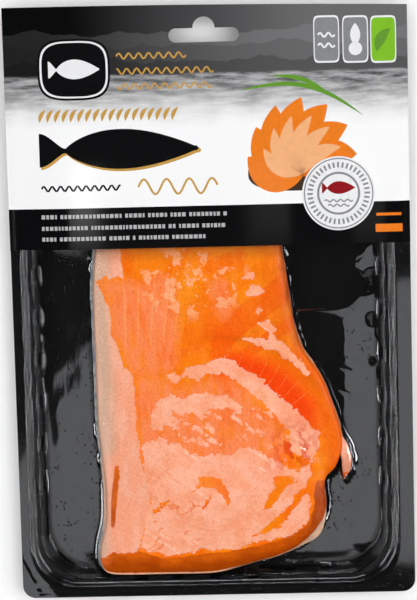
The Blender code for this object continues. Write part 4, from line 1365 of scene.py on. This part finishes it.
class TROUT_OT_print(bpy.types.Operator):
    """Make the printed shapes on the card"""

    bl_idname = "trout_pack.print"
    bl_label = "Print"

    def execute(self, context):
        """One piece for each colour, each a little above the one it lies on."""
        tags = ((51.1, 111.2), (63.2, 110.9), (74.9, 110.6))
        plate, round_mark = (-55.4, 101.0), (55.0, 46.3)
        spokes = [np.array((math.cos(t), math.sin(t))) for t in np.arange(40) * math.pi / 20]
        printed("print_gold", 0.05, ink_material("gold foil", (206, 160, 78), metallic=0.15), [
            fish_shape(-70.4, 66.1, 68.0, 17.9),
            waved(-37.3, -8.0, 106.2, 1.2, 4.2, 0.36, 0.0),
            waved(-37.3, 3.4, 99.8, 1.2, 4.2, 0.36, 1.5),
            waved(-37.3, 2.6, 93.4, 1.2, 4.2, 0.36, 3.0),
            *(leaf((x, 79.0), (x + 2.6, 84.4), 0.12, 0.85, 10) for x in np.arange(-70.5, -12.0, 3.3)),
            waved(-29.5, 4.0, 51.0, 3.2, 9.6, 0.45),
        ])
        printed("print_black", 0.09, ink_material("black ink", (14, 14, 16)), [
            fish_shape(-71.0, 67.0, 67.5, 17.5),
            waved(-70.5, -37.0, 51.0, 1.1, 3.6, 0.42),
        ], [oval(plate, 15.3, 12.9, 3.4)])
        printed("print_white", 0.24, ink_material("white ink", (236, 236, 238), shade=0.95), [
            fish_shape(-66.2, 101.0, 21.6, 8.6),
            *(waved(47.6, 54.6, level, 0.9, 3.5, 0.4) for level in (108.6, 113.0)),
            leaf((63.2, 117.6), (63.2, 108.0), 0.0, 2.1),
        ], [
            oval(plate, 14.4, 12.0, 3.4, 0.94),
            *(oval(tag, 5.4, 9.9, 8.0, 0.92) for tag in tags),
            oval((63.2, 107.0), 2.8, 2.8),
        ])
        printed("print_dashes", 0.05, ink_material("dull white ink", (186, 186, 188)),
                self.dashes(context.scene.trout_pack.dashes))
        printed("print_pale", 0.15, ink_material("pale ink", (246, 246, 248)), (),
                [oval(round_mark, 15.4, 15.7)])
        printed("print_grey", 0.18, ink_material("grey ink", (140, 142, 145)), [
            *(ribbon((round_mark + 10.9 * out, round_mark + 13.2 * out), 0.42) for out in spokes),
            *(waved(round_mark[0] - half, round_mark[0] + half, level, 0.5, 3.0, 0.3)
              for half, level in ((6.0, 43.2), (4.5, 41.2))),
        ], [
            *(oval(tag, 5.1, 9.6, 8.0) for tag in tags[:2]),
            oval(round_mark, 14.7, 15.0, inner=0.965),
            oval(round_mark, 9.1, 9.1, inner=0.9),
        ])
        printed("print_red", 0.20, ink_material("dark red ink", (150, 22, 30)),
                [fish_shape(round_mark[0] - 7.0, 48.6, 14.0, 5.6)])
        printed("print_green", 0.05, ink_material("green ink", (132, 196, 44)), (),
                [oval(tags[2], 5.1, 9.6, 8.0)])
        printed("print_leaf", 0.13, ink_material("leaf green ink", (104, 158, 52)), [
            leaf((28.0, 96.5), (52.0, 88.0), 0.1, 1.0),
            leaf((14.0, 90.5), (66.0, 79.0), 0.14, 1.0),
            leaf((72.2, 105.5), (77.8, 115.0), 0.12, 2.2),
        ])
        printed("print_orange", 0.08, ink_material("orange ink", (246, 130, 30)), [
            *petals((40.0, 54.0), 23, 27, 0.1, 7, 7.0),
            bar(70.8, 81.4, 37.0, 0.6),
            bar(70.4, 81.8, 31.2, 1.7),
        ])
        printed("print_peach", 0.11, ink_material("peach ink", (252, 184, 130)),
                petals((40.0, 55.0), 17, 20, 0.3, 6, 3.2))
        printed("print_brown", 0.05, ink_material("brown ink", (70, 52, 38)), (),
                [oval((38.0, 55.5), 21.0, 7.6, 2.6)])
        return {"FINISHED"}

    def dashes(self, count):
        """Three rows of short dashes from the left margin on, in groups."""
        draw = np.random.default_rng(4)
        dashes = []
        for level, end in ((39.0, 7.8), (34.1, 7.5), (29.5, -0.7)):
            widths = draw.uniform(0.7, 1.6, count)
            gaps = np.where(draw.random(count) < 0.16, 1.5, 0.5)
            starts = -71.0 + np.concatenate([[0], np.cumsum((widths + gaps)[:-1])])
            dashes += [bar(start, start + width, level, 0.85)
                       for start, width in zip(starts, widths) if start + width < end]
        return dashes


class TROUT_OT_stage(bpy.types.Operator):
    """Make the floor, the lights and the camera"""

    bl_idname = "trout_pack.stage"
    bl_label = "Stage"

    def execute(self, context):
        settings = context.scene.trout_pack
        half = 3.0  # of the floor, in metres
        floor = new_object("floor", [(-half, -half, 0), (half, -half, 0), (half, half, 0),
                                     (-half, half, 0)], [(0, 1, 2, 3)], scale=1)
        floor.data.materials.append(floor_material(settings))

        self.panel("soft panel", ((-0.107, -0.124), (-0.246, -0.366), (0.23, -0.366), (0.23, -0.124)),
                   settings.panel_glow, 0.02)
        for name, x0, x1, y0, y1, glow, fade in (
                ("left strip", -0.165, -0.100, -0.10, 0.02, 2.6, 0.6),
                ("right strip", 0.005, 0.13, -0.10, 0.02, 0.45, 0.4),
                ("left side", -3.0, -0.75, -1.0, 0.6, 22.0, 0.03),
                ("right side", 0.80, 3.0, -1.0, 0.6, 22.0, 0.03),
                ("upper side", -0.6, 0.6, 1.0, 3.0, 15.0, 0.03)):
            self.panel(name, ((x0, y1), (x0, y0), (x1, y0), (x1, y1)), glow * settings.panel_glow, fade)
        self.lamp("fill", (-0.15, 0.25, 1.9), (-7, -5, 0), (2.6, 2.6), settings.fill_power)
        self.lamp("side fill", (1.2, 0.1, 1.4), (0, 40, 0), (1.2, 1.2), 0.25 * settings.fill_power)
        world = bpy.data.worlds.new("studio")
        world.use_nodes = True
        sky = world.node_tree.nodes["Background"].inputs
        sky["Color"].default_value, sky["Strength"].default_value = (1, 1, 1, 1), 0.02
        context.scene.world = world

        data = bpy.data.cameras.new("camera")
        data.lens, data.sensor_width = settings.lens, 36.0
        camera = linked("camera", data)
        # About a metre up, with the place and turn worked out from the pack's corners
        camera.location = (0.03037, 0.15168, 1.06486)
        camera.rotation_euler = np.radians((-8.1311, 1.5006, -1.5031))
        context.scene.camera = camera
        context.scene.view_settings.view_transform = "Standard"
        return {"FINISHED"}

    def lamp(self, name, place, turn, size, power):
        """A broad light that isn't mirrored, turned by these degrees from facing straight down."""
        data = bpy.data.lights.new(name, "AREA")
        data.shape, data.energy = "RECTANGLE", power
        data.size, data.size_y = size
        light = linked(name, data)
        light.location, light.rotation_euler = place, np.radians(turn)
        light.visible_glossy = False

    def panel(self, name, corners, glow, fade):
        """A glowing backdrop a metre up that only gloss mirrors. It fades out over this share of
        the way from its edge to its middle."""
        outer = np.array(corners)
        inner = outer + fade * (outer.mean(0) - outer)
        sides = [(k, (k + 1) % 4, (k + 1) % 4 + 4, k + 4) for k in range(4)]
        item = new_object(name, at_height(np.vstack([outer, inner]), 1.0), [*sides, (4, 5, 6, 7)],
                          {"glow": [0.0] * 4 + [1.0] * 4}, scale=1)
        make = Shader(name)
        colour = make.mix(make.field("glow"), (0, 0, 0, 1), (1, 1, 1, 1))
        item.data.materials.append(make.finish((0, 0, 0, 1), Specular_IOR_Level=0.0,
                                               Emission_Color=colour, Emission_Strength=glow))
        item.visible_camera = item.visible_diffuse = item.visible_shadow = False


class TROUT_PT_panel(bpy.types.Panel):
    """Lists the pack's pieces"""

    bl_idname = "TROUT_PT_panel"
    bl_label = "Trout Pack"
    bl_space_type = "VIEW_3D"
    bl_region_type = "UI"
    bl_category = "Trout Pack"

    def draw(self, context):
        for piece in PIECES:
            self.layout.operator(piece.bl_idname)
        for name in TroutPackSettings.__annotations__:
            self.layout.prop(context.scene.trout_pack, name)


PIECES = (TROUT_OT_stage, TROUT_OT_tray, TROUT_OT_food, TROUT_OT_film, TROUT_OT_card, TROUT_OT_print)
CLASSES = (TroutPackSettings, *PIECES, TROUT_PT_panel)


def register():
    """Registers the classes and the scene's settings."""
    for item in CLASSES:
        bpy.utils.register_class(item)
    bpy.types.Scene.trout_pack = PointerProperty(type=TroutPackSettings)


def unregister():
    """Undoes register."""
    del bpy.types.Scene.trout_pack
    for item in reversed(CLASSES):
        bpy.utils.unregister_class(item)


def main():
    """Makes the stage and every piece."""
    register()
    bpy.ops.trout_pack.stage()
    bpy.ops.trout_pack.tray()
    bpy.ops.trout_pack.food()
    bpy.ops.trout_pack.film()
    bpy.ops.trout_pack.card()
    bpy.ops.trout_pack.print()


if __name__ == "__main__":
    main()
